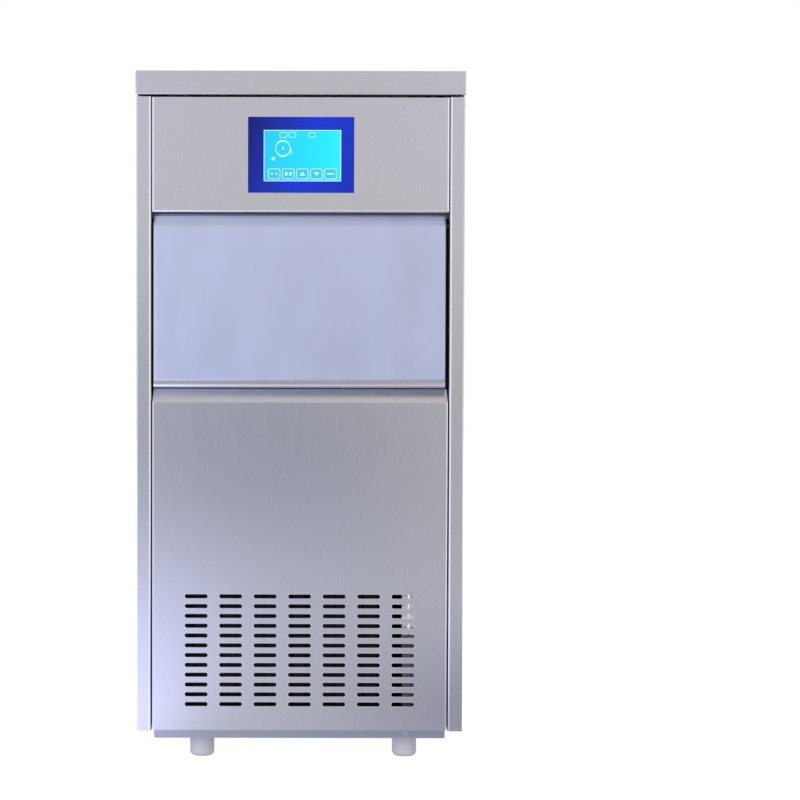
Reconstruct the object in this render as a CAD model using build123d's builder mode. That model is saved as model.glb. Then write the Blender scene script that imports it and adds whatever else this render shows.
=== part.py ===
"""Undercounter flake ice maker with its own storage bin: a stainless cabinet with a flip-up door.

Millimetres. The origin is under the middle of the overall box, +Z is up and the front faces -Y.
The door hangs on two pins at its top and is pulled at its lower edge, over a sloped finger recess.
Water freezes in an upright barrel, an auger lifts the ice, and a spout drops it into the bin.
"""

from build123d import *
import math
import os

os.makedirs("parts", exist_ok=True)

# Casing, seen from outside
width = 400.0  # top cover, side to side
body_depth = 498.0  # top cover, front to back
fitting_reach = 22.0  # pipe fittings, beyond the back of the top cover
cover_overhang = 1.0  # top cover beyond the body, all round
cover_corner = 1.6
cover_edge = 1.0
cover_hem = 2.5
cover_flange = 10.0
cover_roll = 1.4  # round of the hem's lower edge
sheet = 0.8
frame_sheet = 1.2
fold = 1.6  # radius of a fold, at the middle of the sheet
seam = 0.2  # gap between sheets that lie on each other
pillar_width = 18.2
pillar_return = 20.0
rear_return = 15.0
rear_panel_margin = 4.0

# Heights of the front, from the floor up
foot_height = 28.5
base_lip = 10.0
lower_panel_height = 400.7
sill_rise = 16.2
sill_gap = 1.3
door_height = 209.9
door_head_gap = 2.6
control_height = 139.4
cover_gap = 2.5
cover_height = 28.9

# Front panels
control_side_gap = 0.6
lower_side_gap = 1.4
panel_depth = 20.0
lower_return = 12.0
edge_round = 0.6  # round of the lower panel's upright edges
sill_run = 13.0
sill_taper = 1.2
pillar_drop = 1.2  # pillars end this far below the lower panel
slot_length = 28.0
slot_height = 5.0
slot_columns = 7
slot_rows = 12
slot_column_pitch = 42.0
slot_row_pitch = 12.0
slot_centre_height = 107.8  # above the base of the casing
screen_width = 128.5
screen_height = 91.6
screen_centre = 69.4  # above the foot of the control panel
screen_shift = 0.5  # to the right of the middle
display_width = 94.3
display_height = 62.5
display_shift = 1.6  # to the right of the middle of the window
display_drop = 0.9  # and below it
display_recess = 0.9
bezel_thickness = 4.0
bezel_margin = 5.5
display_thickness = 6.0
display_lip = 2.0

# Door
door_setback = 1.0
door_thickness = 28.0
door_gap_left = 2.6
door_gap_right = 4.7
bevel_depth = 8.5
bevel_rise = 14.4
head_slope = 10.0
hinge_drop = 13.2  # hinge axis below the door's top
hinge_setback = 8.0  # and behind its face, so that the door falls shut
door_toe = 3.0  # bend at the door's lower front edge
pivot_width = 6.5
pivot_reach = 14.0
hinge_pin = 6.0
hinge_bush = 10.0
hinge_bush_flange = 13.0
hinge_bush_length = 9.0
running_gap = 0.05  # between a shaft and its bore, on the radius
door_liner_wall = 2.5
door_liner_dish = 5.0
door_liner_rim = 26.0
foam_gap = 0.3
foam_foot = 9.4  # foam above the door's lower edge

# Storage bin
gasket_gap = 0.4
gasket_thickness = 3.9
gasket_width = 12.0
gasket_seat = 0.1
bin_wall = 2.5
bin_corner = 14.0
mouth_margin = 6.0  # between the bin's side wall and its mouth
mouth_bottom = 18.6  # mouth's lower edge, above the top of the sill
mouth_head = 16.0  # mouth's upper edge, below the hinge
bin_ceiling_drop = 12.0  # bin's ceiling, below the hinge
bin_flange = 14.0
flange_gap = 3.3  # between the flange and the pillar
floor_insulation = 28.0
rear_insulation = 30.0
side_insulation = 37.5
roof_insulation = 19.0
front_insulation = 25.0
sensor_diameter = 10.0
sensor_length = 130.0
sensor_drop = 38.0

# Base and machine compartment
base_inset = 3.3  # base pan inside the pillars
rim_rise = 10.3  # outer rim of the base pan above its floor sheet
pan_flange = 31.5
corner_setback = 22.4  # rim starts this far behind the front of the pan
compartment_height = 202.0
deck_flange = 15.0
hole_play = 2.0  # round what passes through the deck
foot_diameter = 30.0
foot_left_inset = 57.2  # from the side of the base pan
foot_right_inset = 47.7
foot_inset = 45.0  # from the body's front and back
foot_stem = 10.0
foot_stem_length = 18.0
foot_round = 6.0
foot_gap = 0.1
nut_diameter = 18.0
nut_height = 10.0

# Ice making unit
barrel_bore = 66.0
barrel_wall = 5.0
barrel_flange = 96.0
barrel_flange_height = 6.0
jacket_diameter = 120.0
jacket_rear_gap = 10.6
jacket_front_gap = 15.0
gearbox_drop = 30.8  # top of the gearbox below the deck
drive_stand_width = 130.0
drive_stand_depth = 104.0
drive_stand_sheet = 2.0
gearbox_width = 100.0
gearbox_depth = 90.0
gearbox_height = 80.0
gearbox_bore_depth = 22.0
drive_motor_diameter = 90.0
drive_motor_rise = 16.0  # foot of the motor above the pan
stand_gap = 9.0  # between the drain pipe and the stand
auger_shaft = 28.0
auger_journal = 20.0
flight_clearance = 0.6
flight_pitch = 60.0
flight_root = 5.0
flight_tip = 3.0
head_diameter = 100.0
head_height = 72.0
head_bearing = 12.0
head_cap = 5.0
spout_width = 60.0
spout_height = 44.0
spout_wall = 2.0
spout_flange = 5.0
spout_drop = 32.0  # spout's middle, below the bin's ceiling
spout_below_head = 25.0
spout_reach = 8.0  # beyond the bin's rear wall
spout_gap = 0.5
port_boss = 4.0

# Water side
tank_gap = 30.0  # between the jacket and the tank
tank_width = 90.0
tank_depth = 70.0
tank_height = 90.0
tank_wall = 2.5
tank_drop = 15.0
lid_thickness = 3.0
float_pin = 4.0
float_pivot_inset = 12.0
float_pivot_drop = 40.0
float_arm_length = 55.0
float_width = 40.0
float_length = 30.0
float_height = 20.0
inlet_side = 48.0  # from the side of the base
inlet_rise = 68.3  # above the deck
inlet_diameter = 26.4
valve_size = 44.0
valve_depth = 34.0
drain_gap = 4.0  # between the drain pipe and the compressor's plate
drain_setback = 37.5  # ahead of the bin's back wall
drain_rise = 24.0  # above the base pan
drain_tube = 12.0
drain_stub = 20.0
water_tube = 8.0
feed_rise = 40.0  # where pipes meet the jacket, above the deck
feed_offset = 10.0  # behind the barrel's axis
supply_arch = 60.0
fitting_flange = 5.0
fitting_recess = 3.0
collar_thickness = 2.0

# Cooling side
condenser_side = 33.0  # from the side of the base
condenser_gap = 31.3  # between the condenser and the electrics
condenser_depth = 38.0
condenser_clear = 14.8  # below the deck
condenser_setback = 22.0  # behind the body's front
condenser_plate = 1.5
condenser_plate_margin = 4.0
condenser_lift = 20.0
fin_groove = 3.0
fin_grooves = 14
fan_rim = 9.0  # shroud beyond the fan, above and below
fan_hub = 50.0
fan_depth = 22.0
fan_blades = 5
fan_blade_pitch = 30.0
fan_tip_gap = 4.0
fan_back_gap = 6.0
fan_motor_diameter = 84.0
fan_motor_length = 62.0
fan_shaft = 8.0
fan_shaft_seat = 12.0
motor_stand_width = 90.0
compressor_side = 28.0  # plate, from the side of the base
compressor_rear_gap = 15.6
compressor_diameter = 140.0
compressor_clear = 19.8  # below the deck
compressor_slope = 28.0
compressor_seam = 4.0
grommet_diameter = 24.0
grommet_height = 18.0
grommet_spread = 120.0
compressor_base = 150.0
compressor_base_sheet = 3.0
pipe = 6.0
pipe_bend = 12.0
drier_diameter = 20.0
drier_rise = 56.0  # above the pan
drier_clear = 20.8  # below the expansion pipe
drier_offset = 50.0  # beside the barrel's axis
drier_gap = 30.0  # ahead of the back of the bin's insulation
riser_gap = 5.0
suction_gap = 18.0

# Electrics
bracket_width = 44.0
bracket_side = 7.2  # from the side of the base pan
bracket_clear = 18.8  # below the deck
bracket_face = 78.0  # height of its upper part
bracket_step = 28.0
bracket_setback = 24.0
cell_width = 6.4
cell_pitch = 8.4
cell_count = 5
cell_depth = 24.0
upper_cell_height = 38.0
lower_cell_height = 15.5
cell_gap = 5.5
cell_base = 2.0
rail_height = 28.0
rail_depth = 20.0
rail_setback = 3.4  # behind the rear face of the door
box_side = 48.0  # from the side of the base
box_width = 210.0
box_depth = 100.0
box_height = 70.0
board_margin = 6.0
board_thickness = 1.6
standoff = 6.0
standoff_diameter = 6.0
gland_side = 48.0  # from the side of the base
gland_drop = 27.7  # below the deck
gland_diameter = 22.0
gland_thread = 14.0
transformer_margin = 12.0
transformer_width = 48.0
transformer_height = 38.0
relay_first = 80.0  # from the board's left end
relay_pitch = 26.0
relay_width = 18.0
relay_depth = 26.0
relay_height = 16.0
relay_count = 3
capacitor_inset = 25.0
capacitor_diameter = 18.0
capacitor_height = 30.0

# Screws and vents
screw_head = 7.0
screw_head_height = 0.9
screw_shank = 4.0
screw_length = 5.0
screw_gap = 0.1
side_screw_drop = 11.3  # below the foot of the top cover
side_screw_front = 10.4  # behind the body's front
side_screw_rear = 60.0  # ahead of the body's back
rear_screw_inset = 30.0  # from both ends of the rear panel
base_screw_inset = 48.0  # from the side of the base pan
base_screw_rise = 6.5  # above the foot of the base pan
lug_width = 12.0
lug_height = 22.0
vent_length = 60.0
vent_height = 6.0
vent_rows = 9
vent_row_pitch = 14.0

# Levels that follow
pan_bottom = foot_height
pan_floor = pan_bottom + frame_sheet
lower_bottom = pan_bottom + base_lip
pillar_bottom = lower_bottom - pillar_drop
sill_bottom = lower_bottom + lower_panel_height
sill_top = sill_bottom + sill_rise
door_bottom = sill_top + sill_gap
door_top = door_bottom + door_height
hinge_z = door_top - hinge_drop
control_bottom = door_top + door_head_gap
control_top = control_bottom + control_height
cover_bottom = control_top + cover_gap
cover_top = cover_bottom + cover_height
deck_underside = pan_bottom + compartment_height
deck_top = deck_underside + frame_sheet
flange_top = pan_floor + pan_flange
drain_z = flange_top + drain_rise

# Planes that follow, from front to back and from the middle out
front = -(body_depth + fitting_reach) / 2
back = front + body_depth
body_front = front + cover_overhang
body_back = back - cover_overhang
body_side = width / 2 - cover_overhang
inner_front = body_front + sheet
inner_back = body_back - sheet
inner_side = body_side - sheet
pillar_inner = body_side - pillar_width
rim_half = inner_side - seam
pan_half = pillar_inner - base_inset
rear_return_back = inner_back - seam
frame_back = rear_return_back - sheet - seam
door_face = body_front + door_setback
door_rear = door_face + door_thickness
door_left = -(pillar_inner - door_gap_left)
door_right = pillar_inner - door_gap_right
door_width = door_right - door_left
door_middle = (door_left + door_right) / 2
hinge_y = door_face + hinge_setback
bin_front = door_rear + gasket_gap + gasket_thickness + gasket_seat
bin_floor = deck_top + seam + floor_insulation + bin_wall
bin_ceiling = hinge_z - bin_ceiling_drop
evaporator_y = inner_back - jacket_rear_gap - jacket_diameter / 2
insulation_back = evaporator_y - jacket_diameter / 2 - jacket_front_gap
bin_back = insulation_back - rear_insulation - bin_wall
liner_half = rim_half - side_insulation
bin_half = liner_half - bin_wall
mouth_half = bin_half - mouth_margin
insulation_top = bin_ceiling + bin_wall + roof_insulation
mouth_low = sill_top + mouth_bottom
mouth_high = hinge_z - mouth_head
shelf_back = bin_front - seam
compressor_x = rim_half - compressor_side - compressor_base / 2
drain_x = compressor_x - compressor_base / 2 - drain_gap - drain_tube / 2
drain_y = bin_back - drain_setback
evaporator_x = drain_x - drain_tube / 2 - stand_gap - drive_stand_width / 2
gearbox_top = deck_underside - gearbox_drop
stand_top = gearbox_top - gearbox_height
spout_z = bin_ceiling - spout_drop
barrel_top = spout_z - spout_below_head
head_top = barrel_top + head_height
tank_top = barrel_top - tank_drop
tank_back = inner_back - seam
condenser_front = body_front + condenser_setback
condenser_back = condenser_front + condenser_depth
bracket_left = pan_half - bracket_side - bracket_width
condenser_left = -(rim_half - condenser_side)
condenser_right = bracket_left - condenser_gap
condenser_width = condenser_right - condenser_left
condenser_middle = (condenser_left + condenser_right) / 2
plate_top = deck_underside - condenser_clear
fins_low = pan_floor + condenser_lift
fins_high = plate_top - condenser_plate_margin
fan_z = (pan_floor + plate_top) / 2
fan_diameter = plate_top - pan_floor - 2 * fan_rim
fan_front = condenser_back + frame_sheet + fan_tip_gap
motor_front = fan_front + fan_depth + fan_back_gap
motor_back = motor_front + fan_motor_length
compressor_y = inner_back - compressor_rear_gap - compressor_diameter / 2
compressor_low = pan_floor + grommet_height + compressor_base_sheet
compressor_top = deck_underside - compressor_clear
compressor_middle = (compressor_low + compressor_top) / 2
tank_left = evaporator_x + jacket_diameter / 2 + tank_gap
inlet_x = rim_half - inlet_side
inlet_z = deck_top + inlet_rise
gland_x = rim_half - gland_side
gland_z = deck_top - gland_drop


def facing(y):
    """The upright plane at depth y that faces the viewer: X to the right, Z up."""
    return Plane.XZ.offset(-y)


def across(x):
    """The upright plane at x, seen from the right: Y to the back, Z up."""
    return Plane.YZ.offset(x)


def level(z):
    """The flat plane at height z."""
    return Plane.XY.offset(z)


def save(piece, name):
    """Labels a finished piece and writes it."""
    piece.part.label = name
    export_step(piece.part, f"parts/{name}.step")


def block(x, y, z, mode=Mode.ADD):
    """A block between two corners, each side given as a (low, high) pair."""
    with Locations(((x[0] + x[1]) / 2, (y[0] + y[1]) / 2, (z[0] + z[1]) / 2)):
        Box(x[1] - x[0], y[1] - y[0], z[1] - z[0], mode=mode)


def rod(centre, radius, low, high, mode=Mode.ADD):
    """An upright round bar at centre, from height low to height high."""
    with Locations((centre[0], centre[1], (low + high) / 2)):
        Cylinder(radius, high - low, mode=mode)


def rod_back(centre, radius, low, high, mode=Mode.ADD):
    """A round bar along Y with its centre at (x, z), from depth low to depth high."""
    with Locations((centre[0], (low + high) / 2, centre[1])):
        Cylinder(radius, high - low, rotation=(90, 0, 0), mode=mode)


def rod_across(centre, radius, low, high, mode=Mode.ADD):
    """A round bar along X with its centre at (y, z), between two values of x."""
    with Locations(((low + high) / 2, centre[0], centre[1])):
        Cylinder(radius, abs(high - low), rotation=(0, 90, 0), mode=mode)


def tube(points, diameter, bend):
    """A bent pipe: straight runs through the points, joined by equal bends."""
    with BuildLine() as route:
        FilletPolyline(*points, radius=bend)
    with BuildSketch(Plane(origin=route.line @ 0, z_dir=route.line % 0)) as section:
        Circle(diameter / 2)
    sweep(sections=section.sketch, path=route.line)


def jacket_edge(aside, diameter):
    """How far from the barrel's axis a pipe that runs aside of it meets the jacket, with a little play."""
    nearest = max(abs(aside) - diameter / 2, 0)
    return math.sqrt((jacket_diameter / 2) ** 2 - nearest**2) + 2 * seam


# Screws that hold the casing: (x, height) on the base, (y, height) on the sides, (x, height) at the back
side_screw_z = cover_bottom - side_screw_drop
side_screw_ys = (body_front + side_screw_front, body_back - side_screw_rear)
base_screw_z = pan_bottom + base_screw_rise
base_screw_x = pan_half - base_screw_inset
base_screw_xs = (-base_screw_x, base_screw_x)
rear_screw_x = body_side - rear_return / 2 - sheet
rear_screw_zs = (
    pillar_bottom + rear_screw_inset,
    (pillar_bottom + control_top) / 2,
    control_top - rear_screw_inset,
)

# Top cover: a shallow folded lid with a hem, a return flange below it and four lugs for the side screws
with BuildPart() as top_cover:
    with BuildSketch(level(cover_bottom)):
        with Locations((0, (front + back) / 2)):
            RectangleRounded(width, body_depth, cover_corner)
    extrude(amount=cover_height)
    with BuildSketch(level(cover_bottom)):
        with Locations((0, (front + back) / 2)):
            Rectangle(width - 2 * cover_flange, body_depth - 2 * cover_flange)
    extrude(amount=cover_height - sheet, mode=Mode.SUBTRACT)
    with BuildSketch(level(cover_bottom + sheet)):
        with Locations((0, (front + back) / 2)):
            Rectangle(width - 2 * cover_hem, body_depth - 2 * cover_hem)
    extrude(amount=cover_hem - sheet, mode=Mode.SUBTRACT)
    with BuildSketch(level(cover_bottom + cover_hem)):
        with Locations((0, (front + back) / 2)):
            RectangleRounded(width - 2 * sheet, body_depth - 2 * sheet, cover_corner - sheet)
    extrude(amount=cover_height - sheet - cover_hem, mode=Mode.SUBTRACT)
    fillet(top_cover.faces().sort_by(Axis.Z)[-1].edges(), cover_edge)
    fillet(top_cover.faces().sort_by(Axis.Z)[0].outer_wire().edges(), cover_roll)
    for side in (-1, 1):
        lug_faces = sorted((side * (inner_side - seam), side * (inner_side - seam - sheet)))
        for screw_y in side_screw_ys:
            lug_y = (screw_y - lug_width / 2, screw_y + lug_width / 2)
            block(lug_faces, lug_y, (cover_bottom - lug_height, cover_bottom + sheet))
            shank = screw_shank / 2 + screw_gap
            rod_across((screw_y, side_screw_z), shank, *lug_faces, mode=Mode.SUBTRACT)
save(top_cover, "top_cover")

# Side panels: one folded sheet each, from the front pillar round to the rear return
for side, name in ((-1, "left_side_panel"), (1, "right_side_panel")):
    with BuildPart() as side_panel:
        with BuildSketch(level(pillar_bottom)):
            with BuildLine():
                FilletPolyline(
                    (side * (body_side - rear_return), rear_return_back - sheet / 2),
                    (side * (body_side - sheet / 2), rear_return_back - sheet / 2),
                    (side * (body_side - sheet / 2), body_front + sheet / 2),
                    (side * (pillar_inner + sheet / 2), body_front + sheet / 2),
                    (side * (pillar_inner + sheet / 2), body_front + pillar_return),
                    radius=fold,
                )
            trace(line_width=sheet)
        extrude(amount=control_top - pillar_bottom)
        bush_hole = hinge_bush / 2 + screw_gap
        hole_ends = (side * (pillar_inner - sheet), side * (pillar_inner + 2 * sheet))
        rod_across((hinge_y, hinge_z), bush_hole, *hole_ends, mode=Mode.SUBTRACT)
        for screw_y in side_screw_ys:
            hole_ends = (side * (inner_side - sheet), side * (body_side + sheet))
            rod_across(
                (screw_y, side_screw_z), screw_shank / 2 + screw_gap, *hole_ends, mode=Mode.SUBTRACT
            )
        for screw_z in rear_screw_zs:
            hole_ends = (frame_back - sheet, inner_back + sheet)
            rod_back(
                (side * rear_screw_x, screw_z), screw_shank / 2 + screw_gap, *hole_ends, mode=Mode.SUBTRACT
            )
    save(side_panel, name)

# Rear panel: flat sheet with air slots behind the compressor and holes for the fittings
rear_half = body_side - rear_panel_margin
with BuildPart() as rear_panel:
    block((-rear_half, rear_half), (inner_back, body_back), (lower_bottom, control_top))
    with BuildSketch(facing(body_back + sheet)):
        with Locations((compressor_x, compressor_middle)):
            with GridLocations(0, vent_row_pitch, 1, vent_rows):
                SlotOverall(vent_length, vent_height)
        with Locations((inlet_x, inlet_z)):
            Circle(inlet_diameter / 2 + seam)
        with Locations((drain_x, drain_z)):
            Circle(drain_stub / 2 + seam)
        with Locations((gland_x, gland_z)):
            Circle(gland_thread / 2 + seam)
        with GridLocations(2 * rear_screw_x, 1, 2, 1):
            with Locations(*[(0, screw_z) for screw_z in rear_screw_zs]):
                Circle(screw_shank / 2 + screw_gap)
    extrude(amount=3 * sheet, mode=Mode.SUBTRACT)
save(rear_panel, "rear_panel")

# Control panel: an open-backed tray between the pillars, with the window for the screen
control_half = pillar_inner - control_side_gap
screen_z = control_bottom + screen_centre
with BuildPart() as control_panel:
    control_width = (-control_half, control_half)
    block(control_width, (body_front, body_front + panel_depth), (control_bottom, control_top))
    fillet(control_panel.faces().sort_by(Axis.Y)[0].edges(), fold)
    inner_width = (-control_half + sheet, control_half - sheet)
    inner_height = (control_bottom + sheet, control_top - sheet)
    block(inner_width, (inner_front, body_front + 2 * panel_depth), inner_height, Mode.SUBTRACT)
    with BuildSketch(facing(body_front - sheet)):
        with Locations((screen_shift, screen_z)):
            RectangleRounded(screen_width, screen_height, sheet)
    extrude(amount=-3 * sheet, mode=Mode.SUBTRACT)
save(control_panel, "control_panel")

# Screen: a moulded bezel behind the window, and the display in its rebate
display_front = inner_front + display_recess
display_x = screen_shift + display_shift
display_z = screen_z - display_drop
with BuildPart() as screen_bezel:
    with BuildSketch(facing(inner_front)):
        with Locations((screen_shift, screen_z)):
            bezel_width, bezel_height = screen_width + 2 * bezel_margin, screen_height + 2 * bezel_margin
            RectangleRounded(bezel_width, bezel_height, bezel_margin)
        with Locations((display_x, display_z)):
            Rectangle(display_width, display_height, mode=Mode.SUBTRACT)
    extrude(amount=-bezel_thickness)
    with BuildSketch(facing(display_front)):
        with Locations((display_x, display_z)):
            Rectangle(display_width + 2 * display_lip, display_height + 2 * display_lip)
    extrude(amount=-bezel_thickness, mode=Mode.SUBTRACT)
save(screen_bezel, "screen_bezel")

with BuildPart() as lcd_module:
    with BuildSketch(facing(display_front)):
        with Locations((display_x, display_z)):
            module_rim = 2 * (display_lip - seam)
            Rectangle(display_width + module_rim, display_height + module_rim)
    extrude(amount=-display_thickness)
save(lcd_module, "lcd_module")

# Lower front panel: slotted sheet whose head folds back as the sloped recess for the fingers
lower_half = pillar_inner - lower_side_gap
sill_back = body_front + sill_run
slot_z = lower_bottom + slot_centre_height - base_lip
with BuildPart() as lower_front_panel:
    with BuildSketch(across(-lower_half)):
        with BuildLine():
            FilletPolyline(
                (body_front + sheet / 2, lower_bottom),
                (body_front + sheet / 2, sill_bottom),
                (sill_back, sill_top - sheet / 2),
                (shelf_back, sill_top - sheet / 2),
                radius=fold,
            )
        trace(line_width=sheet)
    extrude(amount=2 * lower_half)
    for side in (-1, 1):
        edge = sorted((side * lower_half, side * (lower_half - sheet)))
        edge_depth = (body_front + sheet / 2, body_front + lower_return)
        block(edge, edge_depth, (lower_bottom, sill_bottom - fold))
    corners = lower_front_panel.edges().filter_by(Axis.Z).group_by(Axis.Y)[0]
    fillet(corners, edge_round)
    with BuildSketch(facing(body_front)):
        for side in (-1, 1):
            taper_foot = (side * lower_half, sill_bottom + fold)
            taper_head = (side * (lower_half - sill_taper), sill_top + sheet)
            Polygon(taper_foot, taper_head, (side * lower_half, sill_top + sheet), align=None)
    extrude(amount=-2 * door_thickness, mode=Mode.SUBTRACT)
    with BuildSketch(facing(body_front - sheet)):
        with Locations((0, slot_z)):
            with GridLocations(slot_column_pitch, slot_row_pitch, slot_columns, slot_rows):
                SlotOverall(slot_length, slot_height)
    extrude(amount=-3 * sheet, mode=Mode.SUBTRACT)
save(lower_front_panel, "lower_front_panel")

# Base pan: a pressed tray with a raised rim, and four weld nuts that take the stems of the feet
pan_front = inner_front + seam
rim_z = pan_floor + rim_rise
rim_front = pan_front + corner_setback
foot_left = -(pan_half - foot_left_inset)
foot_right = pan_half - foot_right_inset
foot_places = {
    "foot_front_left": (foot_left, body_front + foot_inset),
    "foot_front_right": (foot_right, body_front + foot_inset),
    "foot_rear_left": (foot_left, body_back - foot_inset),
    "foot_rear_right": (foot_right, body_back - foot_inset),
}
with BuildPart() as base_pan:
    block((-pan_half, pan_half), (pan_front, frame_back), (pan_bottom, flange_top))
    block((-rim_half, rim_half), (rim_front, frame_back), (rim_z - frame_sheet, flange_top))
    fillet(base_pan.edges().filter_by(Axis.Z).group_by(Axis.Y)[-1], fold)
    sump_x = (-pan_half + frame_sheet, pan_half - frame_sheet)
    sump_y = (pan_front + frame_sheet, frame_back - frame_sheet)
    block(sump_x, sump_y, (pan_floor, flange_top + 1), Mode.SUBTRACT)
    tray_x = (-rim_half + frame_sheet, rim_half - frame_sheet)
    tray_y = (rim_front + frame_sheet, frame_back - frame_sheet)
    block(tray_x, tray_y, (rim_z, flange_top + 1), Mode.SUBTRACT)
    fillet(base_pan.faces().sort_by(Axis.Z)[0].edges().sort_by(Axis.Y)[0], frame_sheet)
    for x, y in foot_places.values():
        rod((x, y), nut_diameter / 2, pan_floor - seam, pan_floor + nut_height)
        rod((x, y), foot_stem / 2 + running_gap, pan_bottom - 1, pan_floor + 2 * nut_height, Mode.SUBTRACT)
    for x in base_screw_xs:
        shank = screw_shank / 2 + screw_gap
        rod_back((x, base_screw_z), shank, pan_front - 1, pan_front + 2 * frame_sheet, Mode.SUBTRACT)
save(base_pan, "base_pan")

# Feet: round glides on smooth stems
for name, (x, y) in foot_places.items():
    with BuildPart() as foot:
        rod((x, y), foot_diameter / 2, 0, foot_height - foot_gap)
        fillet(foot.faces().sort_by(Axis.Z)[0].edges(), foot_round)
        rod((x, y), foot_stem / 2, foot_height / 2, foot_height + foot_stem_length)
    save(foot, name)

# Machine deck: carries the bin over the compartment, with holes for the barrel and the pipes
suction_x = evaporator_x + jacket_diameter / 2 + suction_gap
suction_y = compressor_y
drier_x = evaporator_x - drier_offset
drier_y = insulation_back - drier_gap
riser_y = insulation_back + riser_gap + pipe / 2
with BuildPart() as machine_deck:
    with BuildSketch(facing(rim_front)):
        with BuildLine():
            FilletPolyline(
                (-rim_half + frame_sheet / 2, deck_top - deck_flange),
                (-rim_half + frame_sheet / 2, deck_top - frame_sheet / 2),
                (rim_half - frame_sheet / 2, deck_top - frame_sheet / 2),
                (rim_half - frame_sheet / 2, deck_top - deck_flange),
                radius=fold,
            )
        trace(line_width=frame_sheet)
    extrude(amount=-(frame_back - frame_sheet - rim_front))
    deck_cut = (deck_underside - 1, deck_top + 1)
    rod((evaporator_x, evaporator_y), barrel_bore / 2 + barrel_wall + hole_play, *deck_cut, Mode.SUBTRACT)
    rod((drain_x, drain_y), drain_stub / 2, *deck_cut, Mode.SUBTRACT)
    rod((suction_x, suction_y), pipe / 2 + hole_play, *deck_cut, Mode.SUBTRACT)
    rod((drier_x, riser_y), pipe / 2 + hole_play, *deck_cut, Mode.SUBTRACT)
save(machine_deck, "machine_deck")

# Front cross rail: a channel between the side panels, over the bin's mouth
rail_front = door_rear + rail_setback
rail_low = insulation_top + seam
with BuildPart() as front_cross_rail:
    with BuildSketch(across(-rim_half)):
        with BuildLine():
            Polyline(
                (rail_front + rail_depth, rail_low + frame_sheet / 2),
                (rail_front + frame_sheet / 2, rail_low + frame_sheet / 2),
                (rail_front + frame_sheet / 2, rail_low + rail_height - frame_sheet / 2),
                (rail_front + rail_depth, rail_low + rail_height - frame_sheet / 2),
            )
        trace(line_width=frame_sheet)
    extrude(amount=2 * rim_half)
save(front_cross_rail, "front_cross_rail")

# Bin liner: a moulded tub, open at the front, with a flange round its mouth and a drain stub below
mouth_middle = (mouth_low + mouth_high) / 2
flange_half = pillar_inner - flange_gap
stub_low = deck_underside - 2
with BuildPart() as bin_liner:
    liner_z = (bin_floor - bin_wall, bin_ceiling + bin_wall)
    block((-liner_half, liner_half), (bin_front, bin_back + bin_wall), liner_z)
    fillet(bin_liner.edges().filter_by(Axis.Z), bin_corner)
    flange_z = (mouth_low - 2 * bin_flange, insulation_top - seam)
    block((-flange_half, flange_half), (bin_front, bin_front + bin_wall), flange_z)
    cavity_y = (bin_front + bin_wall, bin_back)
    block((-bin_half, bin_half), cavity_y, (bin_floor, bin_ceiling), Mode.SUBTRACT)
    with BuildSketch(facing(bin_front - 1)):
        with Locations((0, mouth_middle)):
            RectangleRounded(2 * mouth_half, mouth_high - mouth_low, bin_corner)
    extrude(amount=-(2 * bin_wall + 1), mode=Mode.SUBTRACT)
    spout_hole = (spout_z - spout_height / 2 - spout_gap, spout_z + spout_height / 2 + spout_gap)
    spout_side = spout_width / 2 + spout_gap
    spout_x = (evaporator_x - spout_side, evaporator_x + spout_side)
    block(spout_x, (bin_back - 1, bin_back + bin_wall + 1), spout_hole, Mode.SUBTRACT)
    rod((drain_x, drain_y), drain_stub / 2 - bin_wall, stub_low, bin_floor - bin_wall / 2)
    rod((drain_x, drain_y), drain_tube / 2 - bin_wall, stub_low - 1, bin_floor + 1, Mode.SUBTRACT)
save(bin_liner, "bin_liner")

# Bin insulation: one foamed block round the liner, thicker in front under the mouth
with BuildPart() as bin_insulation:
    foam_side = (-rim_half + seam, rim_half - seam)
    block(foam_side, (bin_front + bin_wall + seam, insulation_back), (deck_top, insulation_top))
    apron_half = lower_half - sheet - 2 * seam
    apron_front = bin_front - front_insulation
    apron_z = (deck_top, mouth_low - 2 * bin_flange - 2 * seam)
    block((-apron_half, apron_half), (apron_front, bin_front + bin_wall + 1), apron_z)
    hollow = liner_half + foam_gap
    hollow_y = (bin_front - foam_gap, bin_back + bin_wall + foam_gap)
    hollow_z = (bin_floor - bin_wall - foam_gap, bin_ceiling + bin_wall + foam_gap)
    block((-hollow, hollow), hollow_y, hollow_z, Mode.SUBTRACT)
    block(spout_x, (bin_back, insulation_back + 1), spout_hole, Mode.SUBTRACT)
    rod((drain_x, drain_y), drain_stub / 2, deck_top - 1, bin_floor, Mode.SUBTRACT)
save(bin_insulation, "bin_insulation")

# Gasket: a soft frame round the mouth that the door closes on
with BuildPart() as bin_gasket:
    with BuildSketch(facing(bin_front - gasket_seat)):
        with Locations((0, mouth_middle)):
            gasket_x = 2 * (mouth_half + gasket_seat)
            gasket_z = mouth_high - mouth_low + 2 * gasket_seat
            outer_x, outer_z = gasket_x + 2 * gasket_width, gasket_z + 2 * gasket_width
            RectangleRounded(outer_x, outer_z, bin_corner + gasket_width)
            RectangleRounded(gasket_x, gasket_z, bin_corner, mode=Mode.SUBTRACT)
    extrude(amount=gasket_thickness)
save(bin_gasket, "bin_gasket")

# Ice level sensor: a closed pocket tube on the bin's left wall
sensor_y = (bin_front + bin_back) / 2
sensor_z = bin_ceiling - sensor_drop
with BuildPart() as bin_sensor:
    sensor_axis = (sensor_y, sensor_z)
    rod_across(sensor_axis, sensor_diameter, -bin_half, -bin_half + bin_wall)
    rod_across(sensor_axis, sensor_diameter / 2, -bin_half, -bin_half + sensor_length)
    chamfer(bin_sensor.faces().sort_by(Axis.X)[-1].edges(), sensor_diameter / 4)
save(bin_sensor, "bin_sensor")

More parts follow.
